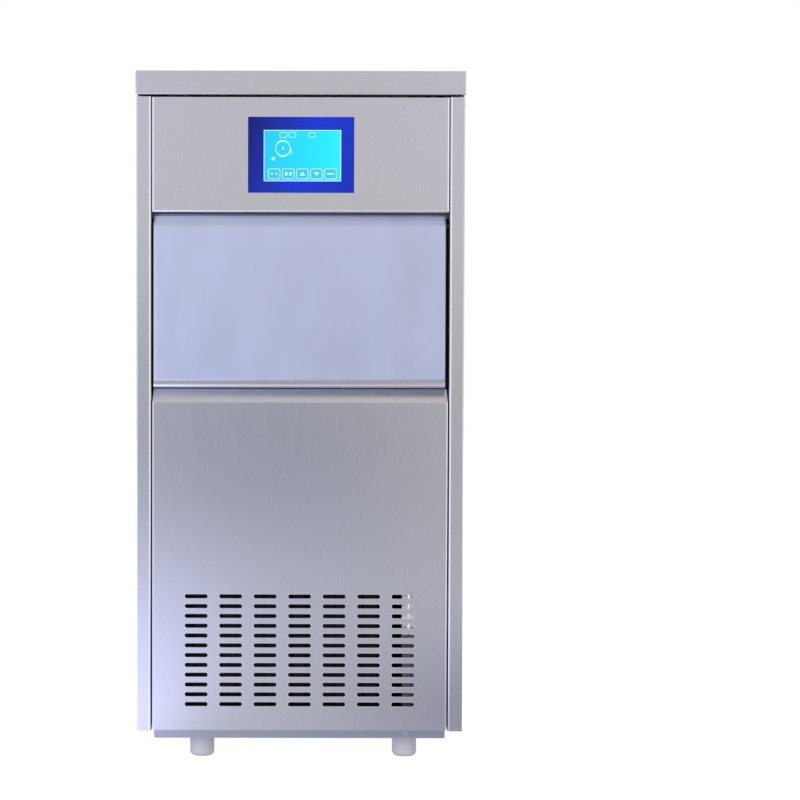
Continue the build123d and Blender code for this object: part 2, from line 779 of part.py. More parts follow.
# Door: a folded skin with a bevelled head, closed at the back by a moulded liner over foam
bevel_foot = door_top - bevel_rise
pivot_low = hinge_z - pivot_reach
with BuildPart() as door_skin:
    with BuildSketch(across(door_left)):
        with BuildLine():
            Polyline(
                (door_face, door_bottom),
                (door_face, bevel_foot),
                (door_face + bevel_depth, door_top),
                (door_rear - head_slope, door_top),
                (door_rear, hinge_z),
                (door_rear, door_bottom),
                close=True,
            )
        make_face()
    extrude(amount=door_width)
    toe = door_skin.edges().filter_by(Axis.X).group_by(Axis.Z)[0].sort_by(Axis.Y)
    fillet(toe[0], door_toe)
    offset(amount=-sheet, openings=door_skin.faces().sort_by(Axis.Y)[-1])
    for end in (door_left, door_right):
        gap_x = (end - pivot_width, end + pivot_width)
        block(gap_x, (door_face - 1, door_rear + 1), (pivot_low, door_top + 1), Mode.SUBTRACT)
save(door_skin, "door_skin")

liner_side = door_width / 2 - sheet - seam
liner_front = door_rear - door_liner_wall
dish_front = liner_front - door_liner_dish
with BuildPart() as door_liner:
    liner_x = (door_middle - liner_side, door_middle + liner_side)
    block(liner_x, (liner_front, door_rear), (door_bottom + sheet + seam, hinge_z - 2 * sheet - seam))
    dish_x = (liner_x[0] + door_liner_rim, liner_x[1] - door_liner_rim)
    dish_z = (door_bottom + door_liner_rim, pivot_low - door_liner_rim / 2)
    block(dish_x, (dish_front, liner_front), dish_z)
    fillet(door_liner.faces().sort_by(Axis.Y)[0].edges(), door_liner_wall)
    pocket_x = (dish_x[0] + door_liner_wall, dish_x[1] - door_liner_wall)
    pocket_z = (dish_z[0] + door_liner_wall, dish_z[1] - door_liner_wall)
    block(pocket_x, (dish_front + door_liner_wall, door_rear + 1), pocket_z, Mode.SUBTRACT)
    for end in (door_left, door_right):
        notch = (end - pivot_width, end + pivot_width)
        block(notch, (liner_front - 1, door_rear + 1), (pivot_low, hinge_z + 1), Mode.SUBTRACT)
save(door_liner, "door_liner")

with BuildPart() as door_foam:
    foam_x = (door_left + sheet + foam_gap, door_right - sheet - foam_gap)
    foam_y = (door_face + sheet + foam_gap, dish_front - foam_gap)
    block(foam_x, foam_y, (door_bottom + foam_foot, pivot_low - foam_gap))
save(door_foam, "door_foam")

# Pivot blocks: moulded ends of the door's head, each with its hinge pin and a plug inside the skin
for side, name, end in ((-1, "door_pivot_left", door_left), (1, "door_pivot_right", door_right)):
    with BuildPart() as pivot:
        with BuildSketch(across(end)):
            with BuildLine():
                Polyline(
                    (door_face, pivot_low + seam),
                    (door_face, bevel_foot),
                    (door_face + bevel_depth, door_top),
                    (door_rear - head_slope, door_top),
                    (door_rear, hinge_z),
                    (door_rear, pivot_low + seam),
                    close=True,
                )
            make_face()
        extrude(amount=-side * (pivot_width - seam))
        plug_x = sorted((end, end - side * 3 * pivot_width))
        plug_y = (door_face + sheet + 2 * foam_gap, dish_front - foam_gap)
        block(plug_x, plug_y, (pivot_low + 2 * seam, hinge_z))
        pin_end = side * (pillar_inner + hinge_bush_length - 1)
        rod_across((hinge_y, hinge_z), hinge_pin / 2, *sorted((end, pin_end)))
    save(pivot, name)

# Hinge bushes: flanged nylon, in the folded edges of the pillars
for side, name in ((-1, "hinge_bush_left"), (1, "hinge_bush_right")):
    with BuildPart() as bush:
        flange_foot = side * (pillar_inner + sheet + seam / 2)
        bush_axis = (hinge_y, hinge_z)
        bush_end = side * (pillar_inner + hinge_bush_length)
        rod_across(bush_axis, hinge_bush / 2, *sorted((side * pillar_inner, bush_end)))
        flange_end = flange_foot + side * 2 * sheet
        rod_across(bush_axis, hinge_bush_flange / 2, *sorted((flange_foot, flange_end)))
        bore_ends = sorted((side * (pillar_inner - 1), bush_end + side))
        rod_across(bush_axis, hinge_pin / 2 + running_gap, *bore_ends, mode=Mode.SUBTRACT)
    save(bush, name)

# Drive stand: a folded stool on the pan that carries the gearbox
evaporator_centre = (evaporator_x, evaporator_y)
leg_x = drive_stand_width / 2 - drive_stand_sheet / 2
with BuildPart() as drive_stand:
    with BuildSketch(facing(evaporator_y + drive_stand_depth / 2)):
        with BuildLine():
            FilletPolyline(
                (evaporator_x - leg_x, pan_floor),
                (evaporator_x - leg_x, stand_top - drive_stand_sheet / 2),
                (evaporator_x + leg_x, stand_top - drive_stand_sheet / 2),
                (evaporator_x + leg_x, pan_floor),
                radius=2 * drive_stand_sheet,
            )
        trace(line_width=drive_stand_sheet)
    extrude(amount=drive_stand_depth)
    stand_cut = (stand_top - 2 * drive_stand_sheet, stand_top + 1)
    rod(evaporator_centre, drive_motor_diameter / 2 + seam, *stand_cut, mode=Mode.SUBTRACT)
save(drive_stand, "drive_stand")

# Gear motor: an upright motor under a cast gearbox, whose hollow shaft takes the auger's journal
with BuildPart() as gear_motor:
    box_x = (evaporator_x - gearbox_width / 2, evaporator_x + gearbox_width / 2)
    box_y = (evaporator_y - gearbox_depth / 2, evaporator_y + gearbox_depth / 2)
    block(box_x, box_y, (stand_top, gearbox_top))
    fillet(gear_motor.edges().filter_by(Axis.Z), gearbox_width / 8)
    rod(evaporator_centre, drive_motor_diameter / 2, pan_floor + drive_motor_rise, stand_top)
    bore = auger_journal / 2 + running_gap
    rod(evaporator_centre, bore, gearbox_top - gearbox_bore_depth, gearbox_top + 1, Mode.SUBTRACT)
save(gear_motor, "gear_motor")

# Evaporator: a flanged steel barrel in a foamed jacket
barrel = barrel_bore / 2 + barrel_wall
with BuildPart() as evaporator_barrel:
    rod(evaporator_centre, barrel, gearbox_top, barrel_top)
    rod(evaporator_centre, barrel_flange / 2, gearbox_top, gearbox_top + barrel_flange_height)
    rod(evaporator_centre, barrel_flange / 2, barrel_top - barrel_flange_height, barrel_top)
    rod(evaporator_centre, barrel_bore / 2, gearbox_top - 1, barrel_top + 1, Mode.SUBTRACT)
save(evaporator_barrel, "evaporator_barrel")

with BuildPart() as evaporator_jacket:
    jacket_z = (deck_top, barrel_top - barrel_flange_height - foam_gap)
    rod(evaporator_centre, jacket_diameter / 2, *jacket_z)
    rod(evaporator_centre, barrel + foam_gap, jacket_z[0] - 1, jacket_z[1] + 1, Mode.SUBTRACT)
save(evaporator_jacket, "evaporator_jacket")

# Auger: a shaft with one helical flight that runs close to the barrel's bore
flight_low = gearbox_top + barrel_flange_height + flight_root
flight_length = barrel_top - flight_root - flight_low
flight_edge = barrel_bore / 2 - flight_clearance
bearing_low = head_top - head_cap - head_bearing
with BuildPart() as auger:
    with BuildLine() as flight_path:
        Helix(flight_pitch, flight_length, barrel_bore / 4, center=(*evaporator_centre, flight_low))
    with BuildSketch(facing(evaporator_y)):
        flight_foot = evaporator_x + auger_shaft / 2 - 1
        flight_side = evaporator_x + flight_edge
        Polygon(
            (flight_foot, flight_low - flight_root / 2),
            (flight_side, flight_low - flight_tip / 2),
            (flight_side, flight_low + flight_tip / 2),
            (flight_foot, flight_low + flight_root / 2),
            align=None,
        )
    sweep(path=flight_path.line, is_frenet=True)
    rod(evaporator_centre, auger_shaft / 2, gearbox_top + 2, bearing_low - 2)
    journal_low = gearbox_top - gearbox_bore_depth + 2
    rod(evaporator_centre, auger_journal / 2, journal_low, head_top - head_cap - 1)
save(auger, "auger")

# Ice head: the cast housing above the barrel, with the upper bearing and the port to the spout
port_front = evaporator_y - head_diameter / 2 - port_boss
with BuildPart() as ice_head:
    rod(evaporator_centre, head_diameter / 2, barrel_top, head_top)
    boss_x = (evaporator_x - spout_width / 2, evaporator_x + spout_width / 2)
    boss_z = (spout_z - spout_height / 2, spout_z + spout_height / 2)
    block(boss_x, (port_front, evaporator_y), boss_z)
    chamfer(ice_head.faces().sort_by(Axis.Z)[-1].edges(), head_cap)
    rod(evaporator_centre, barrel_bore / 2, barrel_top - 1, bearing_low, Mode.SUBTRACT)
    rod(evaporator_centre, bore, bearing_low - 1, head_top - head_cap, Mode.SUBTRACT)
    port_x = (boss_x[0] + spout_wall, boss_x[1] - spout_wall)
    port_z = (boss_z[0] + spout_wall, boss_z[1] - spout_wall)
    block(port_x, (port_front - 1, evaporator_y), port_z, Mode.SUBTRACT)
save(ice_head, "ice_head")

# Spout: the square duct that carries ice through the insulation into the bin
with BuildPart() as ice_spout:
    block(boss_x, (bin_back - spout_reach, port_front), boss_z)
    collar_x = (boss_x[0] - spout_flange, boss_x[1] + spout_flange)
    collar_z = (boss_z[0] - spout_flange, boss_z[1] + spout_flange)
    block(collar_x, (port_front - spout_wall, port_front), collar_z)
    block(port_x, (bin_back - spout_reach - 1, port_front + 1), port_z, Mode.SUBTRACT)
save(ice_spout, "ice_spout")

# Water tank: an open box at the back with a float arm on a pin, and its lid
tank_x = (tank_left, tank_left + tank_width)
tank_y = (tank_back - tank_depth, tank_back)
float_axis = (tank_left + float_pivot_inset, tank_top - float_pivot_drop)
tank_inner_x = (tank_x[0] + tank_wall, tank_x[1] - tank_wall)
tank_inner_y = (tank_y[0] + tank_wall, tank_y[1] - tank_wall)
with BuildPart() as water_tank:
    block(tank_x, tank_y, (tank_top - tank_height, tank_top))
    block(tank_inner_x, tank_inner_y, (tank_top - tank_height + tank_wall, tank_top + 1), Mode.SUBTRACT)
    pin_bore = float_pin / 2 + running_gap
    rod_back(float_axis, pin_bore, tank_y[0] - 1, tank_y[1] + 1, Mode.SUBTRACT)
save(water_tank, "water_tank")

feed_x = tank_left + tank_width / 4
feed_y = evaporator_y + feed_offset
feed_z = deck_top + feed_rise
supply_x = tank_left + tank_width / 2
supply_y = rear_return_back - sheet - valve_depth / 2
with BuildPart() as tank_lid:
    block(tank_x, tank_y, (tank_top, tank_top + lid_thickness))
    supply_end = tank_top + 3 * lid_thickness
    rod((supply_x, supply_y), water_tube / 2 + lid_thickness, tank_top, supply_end)
    spigot = water_tube / 2 + seam / 2
    rod((supply_x, supply_y), spigot, tank_top + lid_thickness, supply_end + 1, Mode.SUBTRACT)
save(tank_lid, "tank_lid")

with BuildPart() as float_arm:
    rod_back(float_axis, float_pin / 2, *tank_y)
    arm_y = ((tank_y[0] + tank_y[1]) / 2 - float_pin, (tank_y[0] + tank_y[1]) / 2 + float_pin)
    arm_x = (float_axis[0], float_axis[0] + float_arm_length)
    block(arm_x, arm_y, (float_axis[1] - float_pin, float_axis[1] + float_pin))
    float_x = (arm_x[1] - float_length / 2, arm_x[1] + float_length / 2)
    float_y = ((tank_y[0] + tank_y[1] - float_width) / 2, (tank_y[0] + tank_y[1] + float_width) / 2)
    block(float_x, float_y, (float_axis[1] - float_height / 2, float_axis[1] + float_height / 2))
save(float_arm, "float_arm")

# Inlet valve with its threaded connector through the rear panel
inlet_centre = (inlet_x, inlet_z)
with BuildPart() as inlet_valve:
    valve_x = (inlet_x - valve_size / 2, inlet_x + valve_size / 2)
    valve_z = (inlet_z - valve_size / 2, inlet_z + valve_size / 2)
    block(valve_x, (rear_return_back - sheet - valve_depth, rear_return_back - sheet), valve_z)
    fillet(inlet_valve.edges().filter_by(Axis.Y), fitting_flange)
    rod_back(inlet_centre, inlet_diameter / 2, rear_return_back - 2 * sheet, back + fitting_reach)
    collar_y = (body_back + seam / 2, body_back + seam / 2 + collar_thickness)
    rod_back(inlet_centre, inlet_diameter / 2 + collar_thickness, *collar_y)
    recess = (back + fitting_reach - fitting_recess, back + fitting_reach + 1)
    rod_back(inlet_centre, inlet_diameter / 3, *recess, mode=Mode.SUBTRACT)
    valve_top = valve_z[1] + fitting_flange
    rod((inlet_x, supply_y), water_tube / 2 + lid_thickness, valve_z[1] - 1, valve_top)
save(inlet_valve, "inlet_valve")

# Drain outlet: a flanged stub on the rear panel
drain_centre = (drain_x, drain_z)
with BuildPart() as drain_outlet:
    rod_back(drain_centre, drain_stub / 2, inner_back - fitting_flange, back + fitting_reach)
    rod_back(drain_centre, drain_stub / 2 + fitting_flange, *collar_y)
    rod_back(drain_centre, drain_stub / 3, *recess, mode=Mode.SUBTRACT)
save(drain_outlet, "drain_outlet")

# Cable gland, its seal closed
gland_centre = (gland_x, gland_z)
with BuildPart() as cable_gland:
    gland_end = body_back + seam + gland_diameter / 2
    rod_back(gland_centre, gland_diameter / 2, body_back + seam / 2, gland_end)
    chamfer(cable_gland.faces().sort_by(Axis.Y)[-1].edges(), gland_diameter / 8)
    rod_back(gland_centre, gland_thread / 2, inner_back - gland_diameter / 2, gland_end - gland_thread / 2)
save(cable_gland, "cable_gland")

# Tubes for water
with BuildPart() as supply_pipe:
    supply_low = (inlet_x, supply_y, valve_top + seam)
    supply_high = tank_top + supply_arch
    supply_end_z = tank_top + lid_thickness + seam
    supply_points = (
        supply_low,
        (inlet_x, supply_y, supply_high),
        (supply_x, supply_y, supply_high),
        (supply_x, supply_y, supply_end_z),
    )
    tube(supply_points, water_tube, pipe_bend)
save(supply_pipe, "supply_pipe")

with BuildPart() as feed_pipe:
    feed_points = (
        (feed_x, feed_y, tank_top - tank_height - seam),
        (feed_x, feed_y, feed_z),
        (evaporator_x + jacket_edge(feed_offset, water_tube), feed_y, feed_z),
    )
    tube(feed_points, water_tube, pipe_bend)
save(feed_pipe, "feed_pipe")

with BuildPart() as drain_pipe:
    drain_points = (
        (drain_x, drain_y, stub_low - seam),
        (drain_x, drain_y, drain_z),
        (drain_x, inner_back - fitting_flange - seam, drain_z),
    )
    tube(drain_points, drain_tube, 2 * pipe_bend)
save(drain_pipe, "drain_pipe")

# Condenser: a grooved fin block between end plates that stand on the pan
condenser_y = (condenser_front, condenser_back)
with BuildPart() as condenser:
    fins_x = (condenser_left + condenser_plate, condenser_right - condenser_plate)
    block(fins_x, (condenser_front + condenser_plate, condenser_back), (fins_low, fins_high))
    for plate_x in (condenser_left, condenser_right - condenser_plate):
        block((plate_x, plate_x + condenser_plate), condenser_y, (pan_floor, plate_top))
    with BuildSketch(facing(condenser_front)):
        with Locations((condenser_middle, (fins_low + fins_high) / 2)):
            with GridLocations(condenser_width / (fin_grooves + 1), 1, fin_grooves, 1):
                Rectangle(fin_groove, fins_high - fins_low + 1)
    extrude(amount=-2 * fin_groove, mode=Mode.SUBTRACT)
save(condenser, "condenser")

# Fan: shroud on the back of the condenser, blades on the motor's shaft, motor on its own stand
fan_centre = (condenser_middle, fan_z)
with BuildPart() as fan_shroud:
    shroud_y = (condenser_back, condenser_back + frame_sheet)
    block((condenser_left, condenser_right), shroud_y, (pan_floor, plate_top))
    shroud_hole = fan_diameter / 2 + fan_tip_gap
    rod_back(fan_centre, shroud_hole, condenser_back - 1, condenser_back + 2, Mode.SUBTRACT)
save(fan_shroud, "fan_shroud")

with BuildPart() as fan_blade:
    rod_back(fan_centre, fan_hub / 2, fan_front, fan_front + fan_depth)
    shaft_end = motor_front + fan_shaft_seat
    rod_back(fan_centre, fan_shaft / 2, fan_front + fan_depth - 1, shaft_end)
    blade_length = (fan_diameter - fan_hub) / 2 + fan_shaft
    blade_width = (fan_depth - 2) / math.sin(math.radians(fan_blade_pitch))
    blade_middle = fan_hub / 2 - fan_shaft + blade_length / 2
    for count in range(fan_blades):
        turn = 360 * count / fan_blades
        hub_plane = Plane(
            origin=(condenser_middle, fan_front + fan_depth / 2, fan_z),
            x_dir=(math.cos(math.radians(turn)), 0, math.sin(math.radians(turn))),
            z_dir=(0, -1, 0),
        )
        with Locations(hub_plane * Pos(blade_middle, 0, 0) * Rot(fan_blade_pitch, 0, 0)):
            Box(blade_length, blade_width, sheet)
save(fan_blade, "fan_blade")

with BuildPart() as fan_motor:
    rod_back(fan_centre, fan_motor_diameter / 2, motor_front, motor_back)
    chamfer(fan_motor.faces().sort_by(Axis.Y)[0].edges(), fan_shaft)
    shaft_bore = (motor_front - 1, motor_front + fan_shaft_seat + 1)
    rod_back(fan_centre, fan_shaft / 2 + running_gap, *shaft_bore, mode=Mode.SUBTRACT)
save(fan_motor, "fan_motor")

with BuildPart() as motor_stand:
    stand_x = (condenser_middle - motor_stand_width / 2, condenser_middle + motor_stand_width / 2)
    block(stand_x, (motor_back, motor_back + drive_stand_sheet), (pan_floor, fan_z + fan_motor_diameter / 2))
    stand_foot_y = (motor_back - fan_motor_length / 2, motor_back)
    block(stand_x, stand_foot_y, (pan_floor, pan_floor + drive_stand_sheet))
save(motor_stand, "motor_stand")

# Compressor: a shell with a sloped head on a plate with four rubber grommets
compressor_centre = (compressor_x, compressor_y)
compressor_r = compressor_diameter / 2
with BuildPart() as compressor:
    rod(compressor_centre, compressor_r, compressor_low - 1, compressor_top)
    chamfer(compressor.faces().sort_by(Axis.Z)[-1].edges(), compressor_slope)
    seam_z = compressor_middle
    rod(compressor_centre, compressor_r + compressor_seam / 2, seam_z, seam_z + compressor_seam)
    with BuildSketch(level(compressor_low - compressor_base_sheet)):
        with Locations(compressor_centre):
            RectangleRounded(compressor_base, compressor_base, grommet_diameter / 2)
    extrude(amount=compressor_base_sheet)
save(compressor, "compressor")

with BuildPart() as compressor_grommets:
    with BuildSketch(level(pan_floor)):
        with Locations(compressor_centre):
            with GridLocations(grommet_spread, grommet_spread, 2, 2):
                Circle(grommet_diameter / 2)
    extrude(amount=grommet_height)
save(compressor_grommets, "compressor_grommets")

# Filter drier and the copper pipes between compressor, condenser and evaporator
pipe_run = 4 * pipe
expansion_z = deck_underside - pipe_run
drier_top = expansion_z - drier_clear
drier_z = pan_floor + drier_rise
condenser_pipe_y = condenser_back - condenser_depth / 4
with BuildPart() as filter_drier:
    rod((drier_x, drier_y), drier_diameter / 2, drier_z, drier_top)
    for end in (0, -1):
        chamfer(filter_drier.faces().sort_by(Axis.Z)[end].edges(), drier_diameter / 4)
save(filter_drier, "filter_drier")

with BuildPart() as discharge_pipe:
    discharge_z = plate_top - pipe_run
    discharge_points = (
        (compressor_x, compressor_y - compressor_r - compressor_seam, seam_z + pipe_run),
        (compressor_x, compressor_y - compressor_r - 2 * pipe_run, seam_z + pipe_run),
        (condenser_right + 2.5 * pipe, compressor_y - compressor_r - 4 * pipe_run, discharge_z),
        (condenser_right + 2.5 * pipe, condenser_pipe_y, discharge_z),
        (condenser_right + seam, condenser_pipe_y, discharge_z),
    )
    tube(discharge_points, pipe, pipe_bend)
save(discharge_pipe, "discharge_pipe")

with BuildPart() as liquid_pipe:
    liquid_z = drier_z - pipe_run
    liquid_points = (
        (condenser_left - seam, condenser_pipe_y, liquid_z),
        (condenser_left - 2.5 * pipe, condenser_pipe_y, liquid_z),
        (condenser_left - 2.5 * pipe, drier_y, liquid_z),
        (drier_x, drier_y, liquid_z),
        (drier_x, drier_y, drier_z - seam),
    )
    tube(liquid_points, pipe, pipe_bend / 2)
save(liquid_pipe, "liquid_pipe")

with BuildPart() as expansion_pipe:
    expansion_points = (
        (drier_x, drier_y, drier_top + seam),
        (drier_x, drier_y, expansion_z),
        (drier_x, riser_y, expansion_z),
        (drier_x, riser_y, feed_z),
        (drier_x, evaporator_y - jacket_edge(drier_offset, pipe), feed_z),
    )
    tube(expansion_points, pipe, pipe_bend / 2)
save(expansion_pipe, "expansion_pipe")

with BuildPart() as suction_pipe:
    suction_z = barrel_top - 4 * pipe_run
    suction_points = (
        (evaporator_x + jacket_edge(suction_y - evaporator_y, pipe), suction_y, suction_z),
        (suction_x, suction_y, suction_z),
        (suction_x, suction_y, seam_z + pipe_run),
        (compressor_x - compressor_r - seam, compressor_y, seam_z + pipe_run),
    )
    tube(suction_points, pipe, pipe_bend / 2)
save(suction_pipe, "suction_pipe")

# Electrics bracket: stepped sheet behind the right-hand slots, with two rows of terminals on its upper part
bracket_y = body_front + bracket_setback
bracket_right = bracket_left + bracket_width
bracket_top = deck_underside - bracket_clear
step_z = bracket_top - bracket_face
with BuildPart() as electrics_bracket:
    with BuildSketch(across(bracket_left)):
        with BuildLine():
            Polyline(
                (bracket_y, pan_floor),
                (bracket_y, step_z),
                (bracket_y + bracket_step, step_z),
                (bracket_y + bracket_step, bracket_top),
            )
        trace(line_width=frame_sheet)
    extrude(amount=bracket_width)
    split(bisect_by=level(pan_floor), keep=Keep.TOP)
save(electrics_bracket, "electrics_bracket")

with BuildPart() as terminal_block:
    cell_back = bracket_y + bracket_step - frame_sheet / 2
    cells_high = bracket_top - seam
    lower_high = cells_high - upper_cell_height - cell_gap
    cells_low = lower_high - lower_cell_height
    block((bracket_left + seam, bracket_right), (cell_back - cell_base, cell_back), (cells_low, cells_high))
    for high, tall in ((cells_high, upper_cell_height), (lower_high, lower_cell_height)):
        for count in range(cell_count):
            cell_left = bracket_left + seam + count * cell_pitch
            cell_y = (cell_back - cell_base - cell_depth, cell_back)
            block((cell_left, cell_left + cell_width), cell_y, (high - tall, high))
save(terminal_block, "terminal_block")

# Control box on the bin's roof, with its circuit board on standoffs
box_y = (rail_front + rail_depth + 2 * seam, rail_front + rail_depth + 2 * seam + box_depth)
box_low = insulation_top
box_left = rim_half - box_side - box_width
board_x = (box_left + board_margin, box_left + box_width - board_margin)
board_y = (box_y[0] + board_margin, box_y[1] - board_margin)
with BuildPart() as control_box:
    box_x = (box_left, box_left + box_width)
    block(box_x, box_y, (box_low, box_low + box_height))
    inner_box_x = (box_x[0] + frame_sheet, box_x[1] - frame_sheet)
    inner_box_y = (box_y[0] + frame_sheet, box_y[1] - frame_sheet)
    block(inner_box_x, inner_box_y, (box_low + frame_sheet, box_low + box_height + 1), Mode.SUBTRACT)
    for x in (board_x[0] + board_margin, board_x[1] - board_margin):
        for y in (board_y[0] + board_margin, board_y[1] - board_margin):
            rod((x, y), standoff_diameter / 2, box_low, box_low + frame_sheet + standoff)
save(control_box, "control_box")

board_low = box_low + frame_sheet + standoff
board_top = board_low + board_thickness
with BuildPart() as circuit_board:
    block(board_x, board_y, (board_low, board_top))
    part_y = (board_y[0] + 3 * board_margin, board_y[1] - 3 * board_margin)
    transformer = board_x[0] + transformer_margin
    block((transformer, transformer + transformer_width), part_y, (board_top, board_top + transformer_height))
    for relay in range(relay_count):
        relay_x = (board_x[0] + relay_first + relay_pitch * relay, part_y[0])
        relay_y = (part_y[0], part_y[0] + relay_depth)
        block((relay_x[0], relay_x[0] + relay_width), relay_y, (board_top, board_top + relay_height))
    capacitor = (board_x[1] - capacitor_inset, part_y[1] - capacitor_diameter / 2)
    rod(capacitor, capacitor_diameter / 2, board_top, board_top + capacitor_height)
save(circuit_board, "circuit_board")

# Screws of the casing: domed heads on round shanks
with BuildPart() as casing_screws:
    for x in base_screw_xs:
        rod_back((x, base_screw_z), screw_head / 2, pan_front - screw_head_height, pan_front)
        rod_back((x, base_screw_z), screw_shank / 2, pan_front - 1, pan_front + screw_length)
    for side in (-1, 1):
        for y in side_screw_ys:
            head_ends = sorted((side * body_side, side * (body_side + screw_head_height)))
            rod_across((y, side_screw_z), screw_head / 2, *head_ends)
            shank_ends = sorted((side * (body_side - screw_length), side * (body_side + 1)))
            rod_across((y, side_screw_z), screw_shank / 2, *shank_ends)
        for z in rear_screw_zs:
            rod_back((side * rear_screw_x, z), screw_head / 2, body_back, body_back + screw_head_height)
            rod_back((side * rear_screw_x, z), screw_shank / 2, body_back - screw_length, body_back + 1)
save(casing_screws, "casing_screws")
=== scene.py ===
"""Looks of an undercounter flake ice maker, laid out as a Blender add-on.

Metres, in the frame of the solids: +Z up, the front faces -Y. Each operator makes one piece or one
group of like pieces around the fixed solids, or gives solids their finish.
"""

import math

import bpy
import numpy as np
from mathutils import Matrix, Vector


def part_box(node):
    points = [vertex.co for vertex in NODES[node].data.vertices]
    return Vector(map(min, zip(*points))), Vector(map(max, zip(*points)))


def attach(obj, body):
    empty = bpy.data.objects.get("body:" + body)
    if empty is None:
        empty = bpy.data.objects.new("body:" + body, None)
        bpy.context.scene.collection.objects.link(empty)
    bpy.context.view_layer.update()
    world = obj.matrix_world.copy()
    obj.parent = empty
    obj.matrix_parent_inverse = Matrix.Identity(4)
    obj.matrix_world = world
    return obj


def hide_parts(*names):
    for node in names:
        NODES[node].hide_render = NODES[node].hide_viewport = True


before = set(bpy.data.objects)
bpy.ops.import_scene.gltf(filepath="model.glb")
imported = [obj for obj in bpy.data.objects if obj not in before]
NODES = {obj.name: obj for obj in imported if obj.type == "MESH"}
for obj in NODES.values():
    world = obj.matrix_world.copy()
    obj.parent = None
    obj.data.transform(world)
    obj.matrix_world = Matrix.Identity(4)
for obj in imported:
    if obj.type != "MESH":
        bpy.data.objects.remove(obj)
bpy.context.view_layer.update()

bl_info = {
    "name": "Flake Ice Maker",
    "version": (1, 0, 0),
    "blender": (4, 5, 0),
    "location": "View3D > Sidebar > Ice Maker",
    "description": "Finishes, screen, film, screws and gasket of an undercounter flake ice maker",
    "category": "Object",
}

FRONT = np.array((0.0, -1.0, 0.0))
BACK = np.array((0.0, 1.0, 0.0))
LEFT = np.array((-1.0, 0.0, 0.0))
RIGHT = np.array((1.0, 0.0, 0.0))
NOISE_RANGE = (0.3, 0.7)
WHITE = (1, 1, 1, 1)


def srgb(red, green, blue):
    """Linear colour of a red, green, blue triple of 0 to 255 as a screen shows it."""
    shown = np.array((red, green, blue)) / 255
    linear = np.where(shown <= 0.04045, shown / 12.92, ((shown + 0.055) / 1.055) ** 2.4)
    return tuple(float(value) for value in linear)


class CasingSettings(bpy.types.PropertyGroup):
    """Colours and grain of the sheet metal outside."""

    steel: bpy.props.FloatVectorProperty(
        name="Steel", description="Colour of the brushed stainless sheet",
        default=srgb(211, 212, 220), subtype="COLOR", size=3, min=0, max=1)
    steel_roughness: bpy.props.FloatProperty(
        name="Steel Roughness", description="How much the brushing spreads a reflection",
        default=0.27, min=0, max=1, subtype="FACTOR")
    grain_length: bpy.props.FloatProperty(
        name="Grain Length", description="Length of a brush stroke in the sheet",
        default=0.12, min=0.01, max=1, unit="LENGTH")
    zinc: bpy.props.FloatVectorProperty(
        name="Zinc", description="Colour of the galvanised sheet at the back and inside",
        default=srgb(170, 173, 177), subtype="COLOR", size=3, min=0, max=1)


class FilmSettings(bpy.types.PropertyGroup):
    """The protective film on the door."""

    tint: bpy.props.FloatVectorProperty(
        name="Film Tint", description="Colour of the door's face under its film",
        default=srgb(183, 190, 217), subtype="COLOR", size=3, min=0, max=1)
    lower_edge: bpy.props.FloatProperty(
        name="Film Lower Edge", description="Bare sheet below the film, from the door's foot up",
        default=0.0078, min=0, max=0.05, unit="LENGTH")
    thickness: bpy.props.FloatProperty(
        name="Film Thickness", description="Thickness of the film",
        default=0.0001, min=0.00005, max=0.001, unit="LENGTH")
    wave: bpy.props.FloatProperty(
        name="Film Wave", description="How far the film lifts off the sheet where it isn't flat",
        default=0.00012, min=0, max=0.001, unit="LENGTH")


class ScreenSettings(bpy.types.PropertyGroup):
    """The small colour screen and its bezel."""

    glow_left: bpy.props.FloatVectorProperty(
        name="Glow Left", description="Colour of the lit screen at its left edge",
        default=srgb(30, 198, 243), subtype="COLOR", size=3, min=0, max=1)
    glow_right: bpy.props.FloatVectorProperty(
        name="Glow Right", description="Colour of the lit screen at its right edge",
        default=srgb(30, 237, 246), subtype="COLOR", size=3, min=0, max=1)
    bezel_dark: bpy.props.FloatVectorProperty(
        name="Bezel Dark", description="Colour of the bezel at its left side",
        default=srgb(4, 14, 84), subtype="COLOR", size=3, min=0, max=1)
    bezel_bright: bpy.props.FloatVectorProperty(
        name="Bezel Bright", description="Colour of the bezel at its middle",
        default=srgb(8, 47, 196), subtype="COLOR", size=3, min=0, max=1)
    line: bpy.props.FloatProperty(
        name="Line Width", description="Width of a drawn line on the screen",
        default=0.0009, min=0.0002, max=0.003, unit="LENGTH")


class HardwareSettings(bpy.types.PropertyGroup):
    """Screws and the door's gasket."""

    head_diameter: bpy.props.FloatProperty(
        name="Screw Head", description="Diameter of a casing screw's head",
        default=0.007, min=0.003, max=0.012, unit="LENGTH")
    head_height: bpy.props.FloatProperty(
        name="Head Height", description="Height of a casing screw's head",
        default=0.0009, min=0.0005, max=0.004, unit="LENGTH")
    recess_depth: bpy.props.FloatProperty(
        name="Recess Depth", description="Depth of the cross in a screw's head",
        default=0.0005, min=0, max=0.002, unit="LENGTH")
    terminal_head: bpy.props.FloatProperty(
        name="Terminal Screw", description="Diameter of a terminal's screw head",
        default=0.0042, min=0.002, max=0.007, unit="LENGTH")


